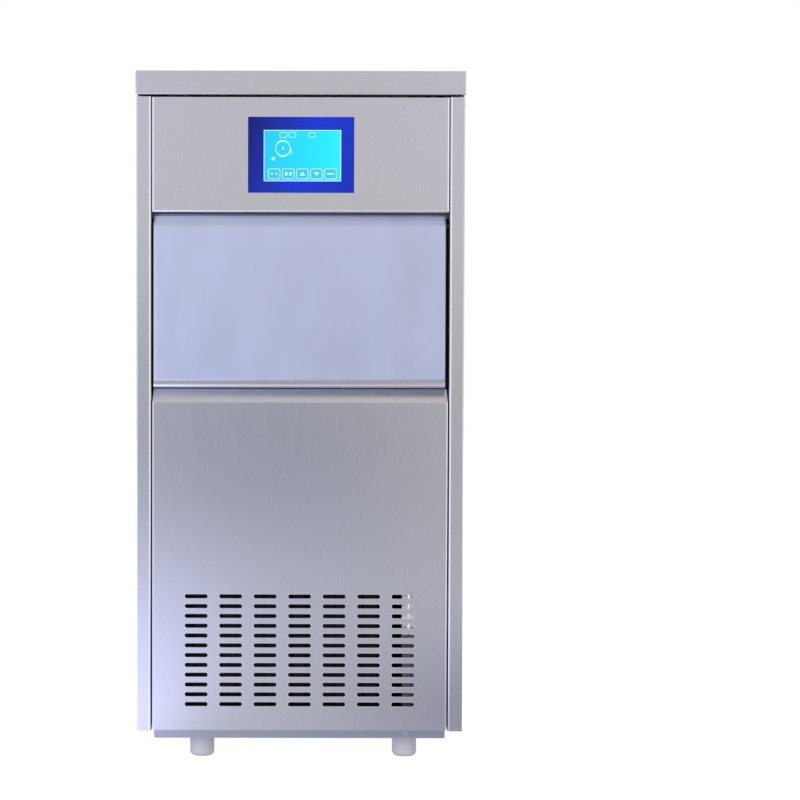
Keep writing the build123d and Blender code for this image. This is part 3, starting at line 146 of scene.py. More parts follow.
class SlotSettings(bpy.types.PropertyGroup):
    """Air slots of the lower panel."""

    slot_length: bpy.props.FloatProperty(
        name="Slot Length", description="Length of an air slot",
        default=0.028, min=0.01, max=0.05, unit="LENGTH")
    slot_height: bpy.props.FloatProperty(
        name="Slot Height", description="Height of an air slot",
        default=0.005, min=0.002, max=0.01, unit="LENGTH")
    column_pitch: bpy.props.FloatProperty(
        name="Column Pitch", description="Distance between columns of slots",
        default=0.042, min=0.03, max=0.06, unit="LENGTH")
    row_pitch: bpy.props.FloatProperty(
        name="Row Pitch", description="Distance between rows of slots",
        default=0.012, min=0.006, max=0.02, unit="LENGTH")
    first_row: bpy.props.FloatProperty(
        name="First Row", description="Middle of the lowest slots above the panel's foot",
        default=0.0318, min=0.01, max=0.1, unit="LENGTH")
    lip_width: bpy.props.FloatProperty(
        name="Lip Width", description="Width of the bright lip round a slot",
        default=0.001, min=0.0002, max=0.002, unit="LENGTH")


class FoldSettings(bpy.types.PropertyGroup):
    """Folds along the edges of the sheets in front, in steel lighter than the sheet: a painted highlight."""

    fold_width: bpy.props.FloatProperty(
        name="Fold Width", description="Width of a bright fold",
        default=0.0013, min=0.0005, max=0.004, unit="LENGTH")
    fold_rise: bpy.props.FloatProperty(
        name="Fold Rise", description="How far the fold stands proud of the sheet",
        default=0.0002, min=0.00005, max=0.001, unit="LENGTH")


class StudioSettings(bpy.types.PropertyGroup):
    """Floor, lamps and camera."""

    floor: bpy.props.FloatVectorProperty(
        name="Floor", description="Colour of the studio floor",
        default=(0.86, 0.86, 0.87), subtype="COLOR", size=3, min=0, max=1)
    floor_glow: bpy.props.FloatProperty(
        name="Floor Glow", description="Light that the floor adds where the camera or a mirror sees it",
        default=0.72, min=0, max=1)
    ambient: bpy.props.FloatProperty(
        name="Ambient", description="Strength of the even light from all round",
        default=0.62, min=0, max=2)
    camera_distance: bpy.props.FloatProperty(
        name="Camera Distance", description="How far the camera stands ahead of the middle",
        default=3.26, min=1, max=10, unit="LENGTH")
    camera_height: bpy.props.FloatProperty(
        name="Camera Height", description="Height of the camera above the floor",
        default=0.56, min=0, max=3, unit="LENGTH")
    camera_lens: bpy.props.FloatProperty(
        name="Focal Length", description="Focal length on a 36 mm sensor",
        default=111.3, min=20, max=300, unit="CAMERA")
    camera_shift: bpy.props.FloatProperty(
        name="Camera Shift", description="Sideways shift of the picture, as a share of its width",
        default=0.12455, min=-1, max=1)
    camera_pitch: bpy.props.FloatProperty(
        name="Camera Pitch", description="How far the camera looks down",
        default=math.radians(2.254), min=-1, max=1, subtype="ANGLE")
    camera_roll: bpy.props.FloatProperty(
        name="Camera Roll", description="How far the camera leans",
        default=math.radians(-0.14), min=-1, max=1, subtype="ANGLE")


# Meshes


def grid_quads(rows, columns, close_rows=False, close_columns=False):
    """Quads of a grid whose points run row by row: each joins a point, the next in its row and the
    same two in the next row. A closed direction also joins its last points to its first."""
    row = np.arange(rows if close_rows else rows - 1)
    column = np.arange(columns if close_columns else columns - 1)
    row, column = np.meshgrid(row, column, indexing="ij")
    next_row, next_column = (row + 1) % rows, (column + 1) % columns
    quads = np.stack((row * columns + column, row * columns + next_column,
                      next_row * columns + next_column, next_row * columns + column), axis=-1)
    return quads.reshape(-1, 4)


def mesh_object(name, points, faces, material):
    """A named object in the scene, made of an array of points and a list of faces."""
    mesh = bpy.data.meshes.new(name)
    mesh.from_pydata(points.tolist(), [], faces)
    mesh.materials.append(material)
    made = bpy.data.objects.new(name, mesh)
    bpy.context.scene.collection.objects.link(made)
    return made


def piece_from(name, points, faces, material, body, smooth=True):
    """A named piece made of an array of points and a list of faces, riding on a body."""
    piece = mesh_object(name, points, faces, material)
    piece.data.validate()
    piece.data.polygons.foreach_set("use_smooth", np.full(len(piece.data.polygons), smooth))
    piece.data.update()
    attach(piece, body)
    return piece


def solid_points(node):
    """Points of a solid's mesh, one row each."""
    vertices = NODES[node].data.vertices
    points = np.empty(len(vertices) * 3, np.float32)
    vertices.foreach_get("co", points)
    return points.reshape(-1, 3)


def island_boxes(node):
    """Low and high corners of each loose part of a solid. Points that share a place are one point,
    and each point takes the lowest label that it reaches along edges, until nothing changes."""
    mesh_edges = NODES[node].data.edges
    edges = np.empty(len(mesh_edges) * 2, np.int32)
    mesh_edges.foreach_get("vertices", edges)
    merged, place = np.unique(np.round(solid_points(node), 6), axis=0, return_inverse=True)
    first, second = place.ravel()[edges.reshape(-1, 2)].T
    label = np.arange(len(merged))
    while True:
        before = label.copy()
        low = np.minimum(label[first], label[second])
        np.minimum.at(label, first, low)
        np.minimum.at(label, second, low)
        label = label[label]
        if np.array_equal(before, label):
            break
    return [(merged[label == own].min(0), merged[label == own].max(0)) for own in np.unique(label)]


def screw_head(centre, outward, radius, height, depth, crossed=True):
    """A domed head with a cross or a slot. On a polar grid the height is a flattened dome,
    h(1 - 0.35 r^2 - 0.65 r^8), less the recess: its depth times a smooth step in the distance to
    the nearest arm. The last rings go down the side and close behind."""
    rings, turns, sunk = 22, 40, -0.0002
    share = np.linspace(0, 1, rings) ** 0.8
    angle = np.arange(turns) * 2 * math.pi / turns
    share, angle = np.meshgrid(share, angle, indexing="ij")
    across, along = share * radius * np.cos(angle), share * radius * np.sin(angle)
    dome = height * (1 - 0.35 * share**2 - 0.65 * share**8)
    arm_width, arm_length = 0.15 * radius, (0.62 if crossed else 1.1) * radius
    cut = np.zeros_like(dome)
    for a, b in ((across, along), (along, across))[:2 if crossed else 1]:
        inside = np.clip((arm_width * 1.5 - np.abs(a)) / arm_width, 0, 1)
        inside *= np.clip((arm_length - np.abs(b)) / (0.2 * radius), 0, 1)
        cut = np.maximum(cut, inside * inside * (3 - 2 * inside))
    top = np.stack((across, along, np.maximum(dome - depth * cut, height * 0.1)), axis=-1)
    under = np.stack((across[-1:], along[-1:], np.full((1, turns), sunk)), axis=-1)
    local = np.concatenate((np.concatenate((top, under)).reshape(-1, 3), [[0, 0, sunk]]))
    last = len(local) - 1
    rim = np.arange(last - turns, last)
    closing = np.stack((rim, np.roll(rim, -1), np.full(turns, last)), axis=-1)
    up = np.array((0.0, 0.0, 1.0))
    points = local @ np.array((np.cross(up, outward), up, outward)) + np.array(centre)
    return points, grid_quads(rings + 1, turns, close_columns=True).tolist() + closing.tolist()


def gathered(parts):
    """Points and faces of several parts as one list, with each part's faces counted on."""
    points, faces, start = [], [], 0
    for own_points, own_faces in parts:
        points.append(own_points)
        faces += [[index + start for index in face] for face in own_faces]
        start += len(own_points)
    return np.concatenate(points), faces


def rounded_path(low, high, radius, turns=10):
    """A closed path round a rectangle with round corners, with its outward directions. Each corner
    is a quarter circle, and the sides are the gaps between them."""
    angle = np.linspace(0, math.pi / 2, turns)[None, :] + np.arange(4)[:, None] * math.pi / 2
    normal = np.stack((np.cos(angle), np.sin(angle)), axis=-1)
    centres = np.array([(high[0] - radius, high[1] - radius), (low[0] + radius, high[1] - radius),
                        (low[0] + radius, low[1] + radius), (high[0] - radius, low[1] + radius)])
    path = centres[:, None, :] + radius * normal
    return path.reshape(-1, 2), normal.reshape(-1, 2)


def on_front(pairs, y):
    """Points from pairs of x and z, at a depth y of their own or at one for all."""
    depth = np.broadcast_to(y, pairs.shape[:-1])
    return np.stack((pairs[..., 0], depth, pairs[..., 1]), axis=-1).reshape(-1, 3)


def band(path, normal, width, y):
    """A flat closed line on the screen: the path moved half the width out and half in, at depth y."""
    rows = np.stack((path + normal * width / 2, path - normal * width / 2))
    return on_front(rows, y), grid_quads(2, len(path), close_columns=True).tolist()


def patch(outline, y):
    """A flat filled shape on the screen from its corners, in order, at depth y."""
    return on_front(np.array(outline, float), y), [list(range(len(outline)))]


def oblong(low, high, y):
    """A flat upright rectangle on the screen between two corners, at depth y."""
    return patch((low, (high[0], low[1]), high, (low[0], high[1])), y)


def ring_path(centre, radius, turns=40):
    """A circle's points and outward directions."""
    angle = np.arange(turns) * 2 * math.pi / turns
    normal = np.stack((np.cos(angle), np.sin(angle)), axis=-1)
    return np.array(centre) + radius * normal, normal


# Materials


def fill_sockets(tree, node, sockets):
    """Gives a node's sockets, named or counted, what they hold: an output of another node is
    joined to its socket, and a number or colour is set on the socket itself."""
    for name, value in sockets.items():
        if isinstance(value, bpy.types.NodeSocket):
            tree.links.new(value, node.inputs[name])
        else:
            node.inputs[name].default_value = value


def add_node(tree, kind, sockets, **settings):
    """A new node with its settings and with its sockets filled."""
    node = tree.nodes.new(kind)
    for name, value in settings.items():
        setattr(node, name, value)
    fill_sockets(tree, node, sockets)
    return node


def empty_tree(owner):
    """The node tree of a new material or world, with nothing in it."""
    owner.use_nodes = True
    owner.node_tree.nodes.clear()
    return owner.node_tree


def fresh_material(name):
    """A node material with one shader joined to its output."""
    material = bpy.data.materials.new(name)
    tree = empty_tree(material)
    shader = tree.nodes.new("ShaderNodeBsdfPrincipled")
    add_node(tree, "ShaderNodeOutputMaterial", {"Surface": shader.outputs["BSDF"]})
    return material, tree, shader


def object_place(tree):
    """Where a point lies on its piece."""
    return tree.nodes.new("ShaderNodeTexCoord").outputs["Object"]


def object_noise(tree, scale, detail=3.0, stretch=(1, 1, 1)):
    """A noise on object coordinates, stretched along each axis by its own factor."""
    mapping = add_node(tree, "ShaderNodeMapping", {"Vector": object_place(tree), "Scale": stretch})
    noise = add_node(tree, "ShaderNodeTexNoise", {
        "Vector": mapping.outputs["Vector"], "Scale": scale, "Detail": detail})
    return noise.outputs["Fac"]


def colour_between(tree, factor, first, second, ends=(0.0, 1.0), middle=None):
    """The colour that a value picks from a ramp between two ends, with a third colour at a place
    between them where one is given."""
    ramp = add_node(tree, "ShaderNodeValToRGB", {"Fac": factor})
    stops = ramp.color_ramp.elements
    for index, colour in enumerate((first, second)):
        stops[index].position = ends[index]
        stops[index].color = (*colour, 1)
    if middle is not None:
        stops.new(middle[0]).color = (*middle[1], 1)
    return ramp.outputs["Color"]


def shaded(colour, factor):
    """A colour made lighter or darker by a factor, within 0 to 1."""
    return tuple(min(1.0, max(0.0, value * factor)) for value in colour)


def uneven(tree, factor, colour, spread, ends=(0.0, 1.0)):
    """A colour that a value makes darker or lighter by up to a spread."""
    return colour_between(tree, factor, shaded(colour, 1 - spread), shaded(colour, 1 + spread), ends)


def carried(tree, value, start, end, low=0.0, high=1.0):
    """A value carried from the range start to end over to low to high."""
    return add_node(tree, "ShaderNodeMapRange", {
        "Value": value, "From Min": start, "From Max": end, "To Min": low, "To Max": high,
    }).outputs["Result"]


def spread_between(tree, noise, low, high):
    """A value from low to high, carried from the range where noise mostly lies."""
    return carried(tree, noise, *NOISE_RANGE, low, high)


def worked_out(tree, operation, *values, clamp=False):
    """The result of an arithmetic operation on outputs of nodes and numbers."""
    return add_node(tree, "ShaderNodeMath", dict(enumerate(values)),
                    operation=operation, use_clamp=clamp).outputs["Value"]


def bumped(tree, height, strength, distance):
    """A bump from a height."""
    return add_node(tree, "ShaderNodeBump", {
        "Height": height, "Strength": strength, "Distance": distance}).outputs["Normal"]


def sheet_metal(name, colour, roughness, stretch, depth, anisotropy=0.0, scale=60):
    """Brushed or rolled metal sheet: fine strokes along one direction over broad soft clouds."""
    streak, cloud_share = 0.005, 0.35
    material, tree, shader = fresh_material(name)
    strokes = object_noise(tree, scale, 4.0, stretch)
    clouds = object_noise(tree, 3.0, 2.0)
    tone = add_node(tree, "ShaderNodeMix", {0: cloud_share, 2: strokes, 3: clouds}, data_type="FLOAT")
    fill_sockets(tree, shader, {
        "Base Color": uneven(tree, tone.outputs[0], colour, streak, NOISE_RANGE),
        "Roughness": spread_between(tree, strokes, roughness - 0.01, roughness + 0.02),
        "Normal": bumped(tree, strokes, depth, 0.0002),
        "Metallic": 1.0,
    })
    if anisotropy:
        tangent = add_node(tree, "ShaderNodeTangent", {}, direction_type="RADIAL", axis="Z")
        fill_sockets(tree, shader, {"Anisotropic": anisotropy, "Tangent": tangent.outputs["Tangent"]})
    return material


def moulded(name, colour, roughness, grain=900.0, depth=0.08, spread=0.05, coat=0.0, milky=0.0, lit=0.0):
    """Moulded plastic or rubber: a fine grain in the surface, a slight unevenness of colour and, with lit
    above 0, a painted white glow.
    """
    material, tree, shader = fresh_material(name)
    fine = object_noise(tree, grain, 2.0)
    broad = object_noise(tree, 14.0)
    fill_sockets(tree, shader, {
        "Base Color": uneven(tree, broad, colour, spread),
        "Roughness": spread_between(tree, broad, roughness - 0.05, roughness + 0.06),
        "Normal": bumped(tree, fine, depth, 0.0002),
        "Coat Weight": coat,
        "Subsurface Weight": milky,
        "Emission Color": WHITE,
        "Emission Strength": lit,
    })
    return material


def pivot_plastic(name, colour):
    """Grey nylon of the door's ends, black on the pins beyond them: the distance from the middle,
    |x|, runs through a steep ramp at the ends of the door."""
    low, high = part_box("door_skin")
    half_door, ramp_width = (high.x - low.x) / 2, 0.0002
    material, tree, shader = fresh_material(name)
    apart = add_node(tree, "ShaderNodeSeparateXYZ", {"Vector": object_place(tree)})
    across = worked_out(tree, "SUBTRACT", apart.outputs["X"], (low.x + high.x) / 2)
    aside = worked_out(tree, "ABSOLUTE", across)
    beyond = carried(tree, aside, half_door, half_door + ramp_width)
    fill_sockets(tree, shader, {
        "Base Color": colour_between(tree, beyond, colour, srgb(16, 16, 20)),
        "Normal": bumped(tree, object_noise(tree, 900.0, 2.0), 0.08, 0.0002),
        "Roughness": 0.45,
    })
    return material


def rough_block(name, colour, cell, depth):
    """Foam: small round cells in the surface and broad yellowing."""
    material, tree, shader = fresh_material(name)
    cells = add_node(tree, "ShaderNodeTexVoronoi", {"Vector": object_place(tree), "Scale": 1 / cell})
    broad = object_noise(tree, 9.0, 4.0)
    fill_sockets(tree, shader, {
        "Base Color": colour_between(tree, broad, shaded(colour, 0.86), shaded(colour, 1.08)),
        "Normal": bumped(tree, cells.outputs["Distance"], depth, 0.0006),
        "Roughness": 0.85,
    })
    return material


def solid_metal(name, colour, roughness, scale, depth, spread=0.10):
    """Cast, turned or drawn metal: a grain of one scale with stains of a broader one."""
    material, tree, shader = fresh_material(name)
    fine = object_noise(tree, scale, 5.0)
    broad = object_noise(tree, 20.0)
    fill_sockets(tree, shader, {
        "Base Color": uneven(tree, broad, colour, spread),
        "Roughness": spread_between(tree, fine, roughness - 0.06, roughness + 0.08),
        "Normal": bumped(tree, fine, depth, 0.0004),
        "Metallic": 1.0,
    })
    return material


def lit_screen(name, left, right, edges):
    """A lit display whose colour runs from its left edge to its right, a little dimmer between."""
    place, dimmed = 0.45, 0.97
    material, tree, shader = fresh_material(name)
    apart = add_node(tree, "ShaderNodeSeparateXYZ", {"Vector": object_place(tree)})
    across = carried(tree, apart.outputs["X"], *edges)
    between = [(a * (1 - place) + b * place) * dimmed for a, b in zip(left, right)]
    fill_sockets(tree, shader, {
        "Emission Color": colour_between(tree, across, left, right, middle=(place, between)),
        "Base Color": (0.01, 0.05, 0.07, 1),
        "Emission Strength": 1.0,
        "Roughness": 0.25,
        "Specular IOR Level": 0.06,
    })
    return material


def drawn_line(name, colour, strength=1.0):
    """The light or dark lines that the display draws, and the dark line of painted shadow round its edge,
    very slightly uneven.
    """
    material, tree, shader = fresh_material(name)
    fleck = object_noise(tree, 600.0, 1.0)
    fill_sockets(tree, shader, {
        "Emission Color": colour_between(tree, fleck, shaded(colour, 0.96), colour),
        "Base Color": (*shaded(colour, 0.3), 1),
        "Emission Strength": strength,
        "Roughness": 0.3,
    })
    return material


def bezel_plastic(name, dark, bright, low, high):
    """Blue moulded bezel, brightest past its middle, deeper at the left and a little at the right."""
    across_share, down_share = 0.8, 0.2
    material, tree, shader = fresh_material(name)
    mapping = add_node(tree, "ShaderNodeMapping", {
        "Vector": object_place(tree), "Location": (-low.x, 0, -low.z)})
    apart = add_node(tree, "ShaderNodeSeparateXYZ", {"Vector": mapping.outputs["Vector"]})
    across = worked_out(tree, "MULTIPLY", apart.outputs["X"], across_share / (high.x - low.x))
    down = worked_out(tree, "MULTIPLY_ADD", apart.outputs["Z"], -down_share / (high.z - low.z), down_share)
    place = worked_out(tree, "ADD", across, down)
    fill_sockets(tree, shader, {
        "Base Color": colour_between(tree, place, dark, shaded(bright, 0.71), middle=(0.55, bright)),
        "Normal": bumped(tree, object_noise(tree, 1200.0, 2.0), 0.05, 0.0001),
        "Roughness": 0.42,
        "Specular IOR Level": 0.12,
    })
    return material


def finned(name, colour, pitch):
    """The grooved fin block: thin upright fins drawn as a fine wave across the block, lighter on the fins
    and far darker between them, painted shade in the gaps.
    """
    plain_period = 0.314
    material, tree, shader = fresh_material(name)
    wave = add_node(tree, "ShaderNodeTexWave", {"Vector": object_place(tree), "Scale": plain_period / pitch},
                    bands_direction="X").outputs["Fac"]
    # Troughs at a quarter of the colour: painted shade between the fins.
    fill_sockets(tree, shader, {
        "Base Color": colour_between(tree, wave, shaded(colour, 0.25), shaded(colour, 1.3)),
        "Normal": bumped(tree, wave, 0.6, 0.001),
        "Metallic": 0.8,
        "Roughness": 0.5,
    })
    return material


def door_film(name, tint):
    """Thin bluish film over steel: soft smears and a slow ripple under a weak clear coat."""
    material, tree, shader = fresh_material(name)
    smears = object_noise(tree, 9.0, 4.0, (3, 3, 1.2))
    ripple = object_noise(tree, 22.0, 2.0, (1, 1, 0.35))
    fill_sockets(tree, shader, {
        "Base Color": uneven(tree, smears, tint, 0.03, NOISE_RANGE),
        "Roughness": spread_between(tree, smears, 0.30, 0.40),
        "Normal": bumped(tree, ripple, 0.04, 0.001),
        "Metallic": 0.6,
        "Coat Weight": 0.25,
        "Coat Roughness": 0.25,
    })
    return material


def paint(names, material):
    """Gives solids a finish by way of their material slots."""
    for name in names:
        node = NODES[name]
        if not node.material_slots:
            node.data.materials.append(material)
        for slot in node.material_slots:
            slot.material = material


# Operators


class ICEMAKER_OT_finish_casing(bpy.types.Operator):
    """Brushed stainless for the outer panels, galvanised sheet for the back and the sheet parts inside, and
    a darker, bluer steel for the base pan, its darkness painted shade
    """

    bl_idname = "icemaker.finish_casing"
    bl_label = "Finish Casing"

    def execute(self, context):
        settings = context.scene.icemaker_casing
        across, along = 60, 1 / settings.grain_length / 30
        upright, level = (across, across, along), (along, across, across)
        steel, rough = tuple(settings.steel), settings.steel_roughness
        brushing, sheen = 0.007, 0.35
        paint(["left_side_panel", "right_side_panel", "lower_front_panel"],
              sheet_metal("stainless_upright_grain", steel, rough, upright, brushing, sheen))
        paint(["control_panel"], sheet_metal("stainless_panel", steel, rough, upright, brushing, sheen))
        paint(["top_cover"], sheet_metal("stainless_cover", steel, rough, level, brushing))
        # The base pan's steel is darker and bluer than the other stainless: painted shade near the floor.
        paint(["base_pan"], sheet_metal("base_steel_painted_shade", srgb(176, 179, 198), 0.36, level, 0.04))
        paint(["rear_panel", "machine_deck", "front_cross_rail", "control_box", "fan_shroud",
               "motor_stand", "drive_stand", "electrics_bracket"],
              sheet_metal("galvanised_sheet", tuple(settings.zinc), 0.45, (20, 20, 20), 0.03, scale=6))
        return {"FINISHED"}


class ICEMAKER_OT_finish_door(bpy.types.Operator):
    """Steel skin, pivot blocks, liner and foam of the door, and the glides"""

    bl_idname = "icemaker.finish_door"
    bl_label = "Finish Door and Glides"

    def execute(self, context):
        settings = context.scene.icemaker_casing
        paint(["door_skin"], sheet_metal("door_steel", tuple(settings.steel), settings.steel_roughness,
                                         (60, 60, 0.3), 0.04))
        paint(["door_pivot_left", "door_pivot_right"], pivot_plastic("pivot_nylon", srgb(112, 116, 140)))
        paint(["hinge_bush_left", "hinge_bush_right"], moulded("bush_nylon", srgb(26, 27, 32), 0.5))
        paint(["door_liner"], moulded("liner_white", srgb(226, 228, 230), 0.38, 500.0))
        paint(["door_foam"], rough_block("door_foam_cells", srgb(226, 214, 176), 0.0012, 0.5))
        paint([name for name in NODES if name.startswith("foot_")],
              moulded("glide_plastic", srgb(206, 207, 216), 0.42, 700.0, 0.06, 0.04, milky=0.15))
        return {"FINISHED"}


class ICEMAKER_OT_finish_inside(bpy.types.Operator):
    """Finishes of the bin, the ice unit, the cooling side, the water side and the electrics"""

    bl_idname = "icemaker.finish_inside"
    bl_label = "Finish Inside"

    def execute(self, context):
        paint(["bin_liner", "water_tank", "tank_lid", "float_arm"],
              moulded("tub_white", srgb(228, 230, 233), 0.36, 450.0, 0.06, 0.02))
        paint(["ice_spout", "bin_sensor"], moulded("spout_grey", srgb(196, 199, 204), 0.4))
        paint(["bin_insulation", "evaporator_jacket"],
              rough_block("black_foam", srgb(30, 31, 36), 0.0014, 0.6))
        paint(["auger", "evaporator_barrel"],
              solid_metal("turned_steel", srgb(198, 199, 203), 0.26, 260.0, 0.03, 0.05))
        paint(["gear_motor", "ice_head", "fan_motor"],
              solid_metal("cast_aluminium", srgb(172, 174, 178), 0.5, 420.0, 0.25))
        paint(["compressor"], moulded("black_enamel", srgb(24, 24, 27), 0.28, 300.0, 0.1, 0.1, 0.3))
        paint(["condenser"], finned("fin_block_painted_shade", srgb(60, 62, 66), 0.0021))
        paint(["filter_drier", "discharge_pipe", "liquid_pipe", "expansion_pipe", "suction_pipe"],
              solid_metal("drawn_copper", srgb(203, 125, 88), 0.3, 180.0, 0.05, 0.16))
        paint(["supply_pipe", "feed_pipe", "drain_pipe"],
              moulded("tube_plastic", srgb(214, 218, 224), 0.3, 600.0, 0.03, 0.03, milky=0.2))
        paint(["compressor_grommets"], moulded("grommet_rubber", srgb(30, 30, 32), 0.75, 700.0, 0.2))
        paint(["fan_blade", "cable_gland", "drain_outlet"],
              moulded("black_nylon", srgb(38, 38, 42), 0.48, 800.0))
        paint(["inlet_valve"], moulded("valve_plastic", srgb(218, 219, 222), 0.42, 700.0))
        # The terminal plastic glows a little though it is no lamp: painted light that brightens the cells
        # seen through the slots.
        paint(["terminal_block"], moulded("terminal_plastic_painted_glow", srgb(244, 245, 246), 0.45, lit=0.18))
        paint(["circuit_board"], moulded("board_green", srgb(34, 92, 58), 0.35, 250.0, 0.12, 0.12, 0.2))
        return {"FINISHED"}


class ICEMAKER_OT_make_door_film(bpy.types.Operator):
    """The thin bluish film over the door's face and bevel"""

    bl_idname = "icemaker.make_door_film"
    bl_label = "Make Door Film"

    def execute(self, context):
        settings = context.scene.icemaker_film
        points, faces = film_surface(*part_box("door_skin"), settings)
        material = door_film("door_film_over_steel", tuple(settings.tint))
        film = piece_from("door_film", points, faces, material, "door")
        wall = film.modifiers.new("film_thickness", "SOLIDIFY")
        wall.thickness = settings.thickness
        wall.offset = -1.0
        return {"FINISHED"}


def film_surface(low, high, settings):
    """The film follows the door's front profile: up the flat face, then back over the bevel. Its
    distance from the sheet is a small constant plus two crossed cosine waves that fade at the
    edges, so it lies flat there and lifts slightly between."""
    columns, flat_rows, bevel_rows = 90, 52, 8
    bevel_depth, bevel_height, edge = 0.0085, 0.0144, 0.0002
    turn = np.linspace(low.x + edge, high.x - edge, columns)
    length = np.concatenate((np.linspace(0, 1, flat_rows), 1 + np.linspace(0.1, 0.96, bevel_rows)))
    across, along = np.meshgrid(turn, length, indexing="xy")
    flat = np.clip(along, 0, 1)
    slope = np.clip(along - 1, 0, 1)
    start, bevel_foot = low.z + settings.lower_edge, high.z - bevel_height
    side = (across - across.min()) / (across.max() - across.min())
    fade = np.sin(math.pi * side) * np.sin(math.pi * np.clip(along / 2, 0, 1))
    lift = settings.thickness + settings.wave * fade * (
        1 + 0.5 * np.cos(side * 23 + along * 4) + 0.5 * np.cos(along * 17 - side * 5))
    y = low.y + slope * bevel_depth - lift
    z = start + flat * (bevel_foot - start) + slope * (high.z - bevel_foot) + lift * slope
    points = np.stack((across, y, z), axis=-1).reshape(-1, 3)
    return points, grid_quads(flat_rows + bevel_rows, columns).tolist()


class ICEMAKER_OT_make_screen(bpy.types.Operator):
    """The lit display with its drawn dial and keys, and the blue bezel's finish"""

    bl_idname = "icemaker.make_screen"
    bl_label = "Make Screen"

    def execute(self, context):
        settings = context.scene.icemaker_screen
        low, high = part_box("screen_bezel")
        paint(["screen_bezel"], bezel_plastic("bezel_blue", tuple(settings.bezel_dark),
                                              tuple(settings.bezel_bright), low, high))
        paint(["lcd_module"], moulded("module_black", srgb(22, 26, 40), 0.4))
        module_low, module_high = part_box("lcd_module")
        inset, face_lift, key_lift, line_lift = 0.0018, 0.0002, 0.00003, 0.00005
        x = (module_low.x + inset, module_high.x - inset)
        z = (module_low.z + inset, module_high.z - inset)
        face_y = module_low.y - face_lift
        line_y = face_y - line_lift
        glow = lit_screen("display_glow", tuple(settings.glow_left), tuple(settings.glow_right), x)
        display = piece_from("display_face", *display_face(x, z, face_y), glow, "cabinet", smooth=False)
        centre = np.array(((x[0] + x[1]) / 2, (z[0] + z[1]) / 2))
        half = np.array(((x[1] - x[0]) / 2, (z[1] - z[0]) / 2))
        drawings = (
            ("display_keys", display_keys(centre, face_y - key_lift), "display_key_teal", (34, 176, 208)),
            ("display_lines", display_lines(centre, half, settings.line, line_y),
             "display_white", (216, 250, 253)),
            ("display_marks", display_marks(centre, line_y - line_lift), "display_pale", (176, 242, 248)),
        )
        for name, parts, ink, colour in drawings:
            drawn = piece_from(name, *gathered(parts), drawn_line(ink, srgb(*colour)),
                               "cabinet", smooth=False)
        # A dark blue ring round the lit area, glowing dimly: painted shadow where the bezel's recess meets
        # the display.
        shadow = drawn_line("display_shadow_line", srgb(24, 44, 150), 0.6)
        rim_gap, rim_corner, rim_width, rim_lift = 0.0002, 0.0006, 0.0012, 0.0004
        path, normal = rounded_path(centre - half - rim_gap, centre + half + rim_gap, rim_corner, 4)
        rim = piece_from("display_shadow_rim", *band(path, normal, rim_width, face_y - rim_lift),
                         shadow, "cabinet", smooth=False)
        return {"FINISHED"}


def display_face(x, z, y):
    """A flat grid over the lit area, whose rim is carried back a little so that it has an edge."""
    columns, rows, thickness = 24, 16, 0.0002
    across, up = np.meshgrid(np.linspace(x[0], x[1], columns), np.linspace(z[0], z[1], rows), indexing="xy")
    front = on_front(np.stack((across, up), axis=-1), y)
    order = np.concatenate((np.arange(columns), np.arange(1, rows) * columns + columns - 1,
                            np.arange(columns - 2, -1, -1) + (rows - 1) * columns,
                            np.arange(rows - 2, 0, -1) * columns))
    rim = front[order] + (0, thickness, 0)
    points = np.concatenate((front, rim))
    rim_index = len(front) + np.arange(len(order))
    edge = np.stack((order, rim_index, np.roll(rim_index, -1), np.roll(order, -1)), axis=-1)
    return points, grid_quads(rows, columns).tolist() + edge.tolist()


DIAL = (-0.0237, 0.0087)
STAR = (-0.0353, -0.0038)
FIRST_KEY = (-0.0341, -0.0219)
KEY_COUNT, KEY_PITCH = 5, 0.017


def key_middles(centre):
    """Middles of the keys in their row below the dial."""
    return [centre + (FIRST_KEY[0] + KEY_PITCH * key, FIRST_KEY[1]) for key in range(KEY_COUNT)]


def key_outlines(centre):
    """Paths of the round-cornered keys, with their directions."""
    half_key = np.array((0.0069, 0.006))
    return [rounded_path(middle - half_key, middle + half_key, 0.0018, 6) for middle in key_middles(centre)]


def display_keys(centre, y):
    """The keys' darker fields."""
    return [patch(path, y) for path, _ in key_outlines(centre)]


def display_lines(centre, half, width, y):
    """White lines: the frame, the dial's ring, the outlines of the keys and of three signs, and a
    star of four crossed strokes."""
    path, normal = rounded_path(centre - half + width * 0.6, centre + half - width * 0.6, 0.0012)
    parts = [band(path, normal, width, y), band(*ring_path(centre + DIAL, 0.0088), width * 0.6, y)]
    parts += [band(path, normal, width * 0.5, y) for path, normal in key_outlines(centre)]
    half_sign = np.array((0.0042, 0.003))
    for offset, corner in (((-0.0231, 0.025), 0.0012), ((-0.0122, 0.025), 0.002), ((0.0115, 0.025), 0.0028)):
        spot = centre + offset
        path, normal = rounded_path(spot - half_sign, spot + half_sign, corner, 5)
        parts.append(band(path, normal, width * 0.45, y))
    spot = centre + STAR
    for turn in np.arange(4) * math.pi / 4:
        along = np.array((math.cos(turn), math.sin(turn))) * 0.0022
        side = np.array((-along[1], along[0])) * 0.16
        low, high = spot - along, spot + along
        parts.append(patch((low - side, high - side, high + side, low + side), y))
    return parts


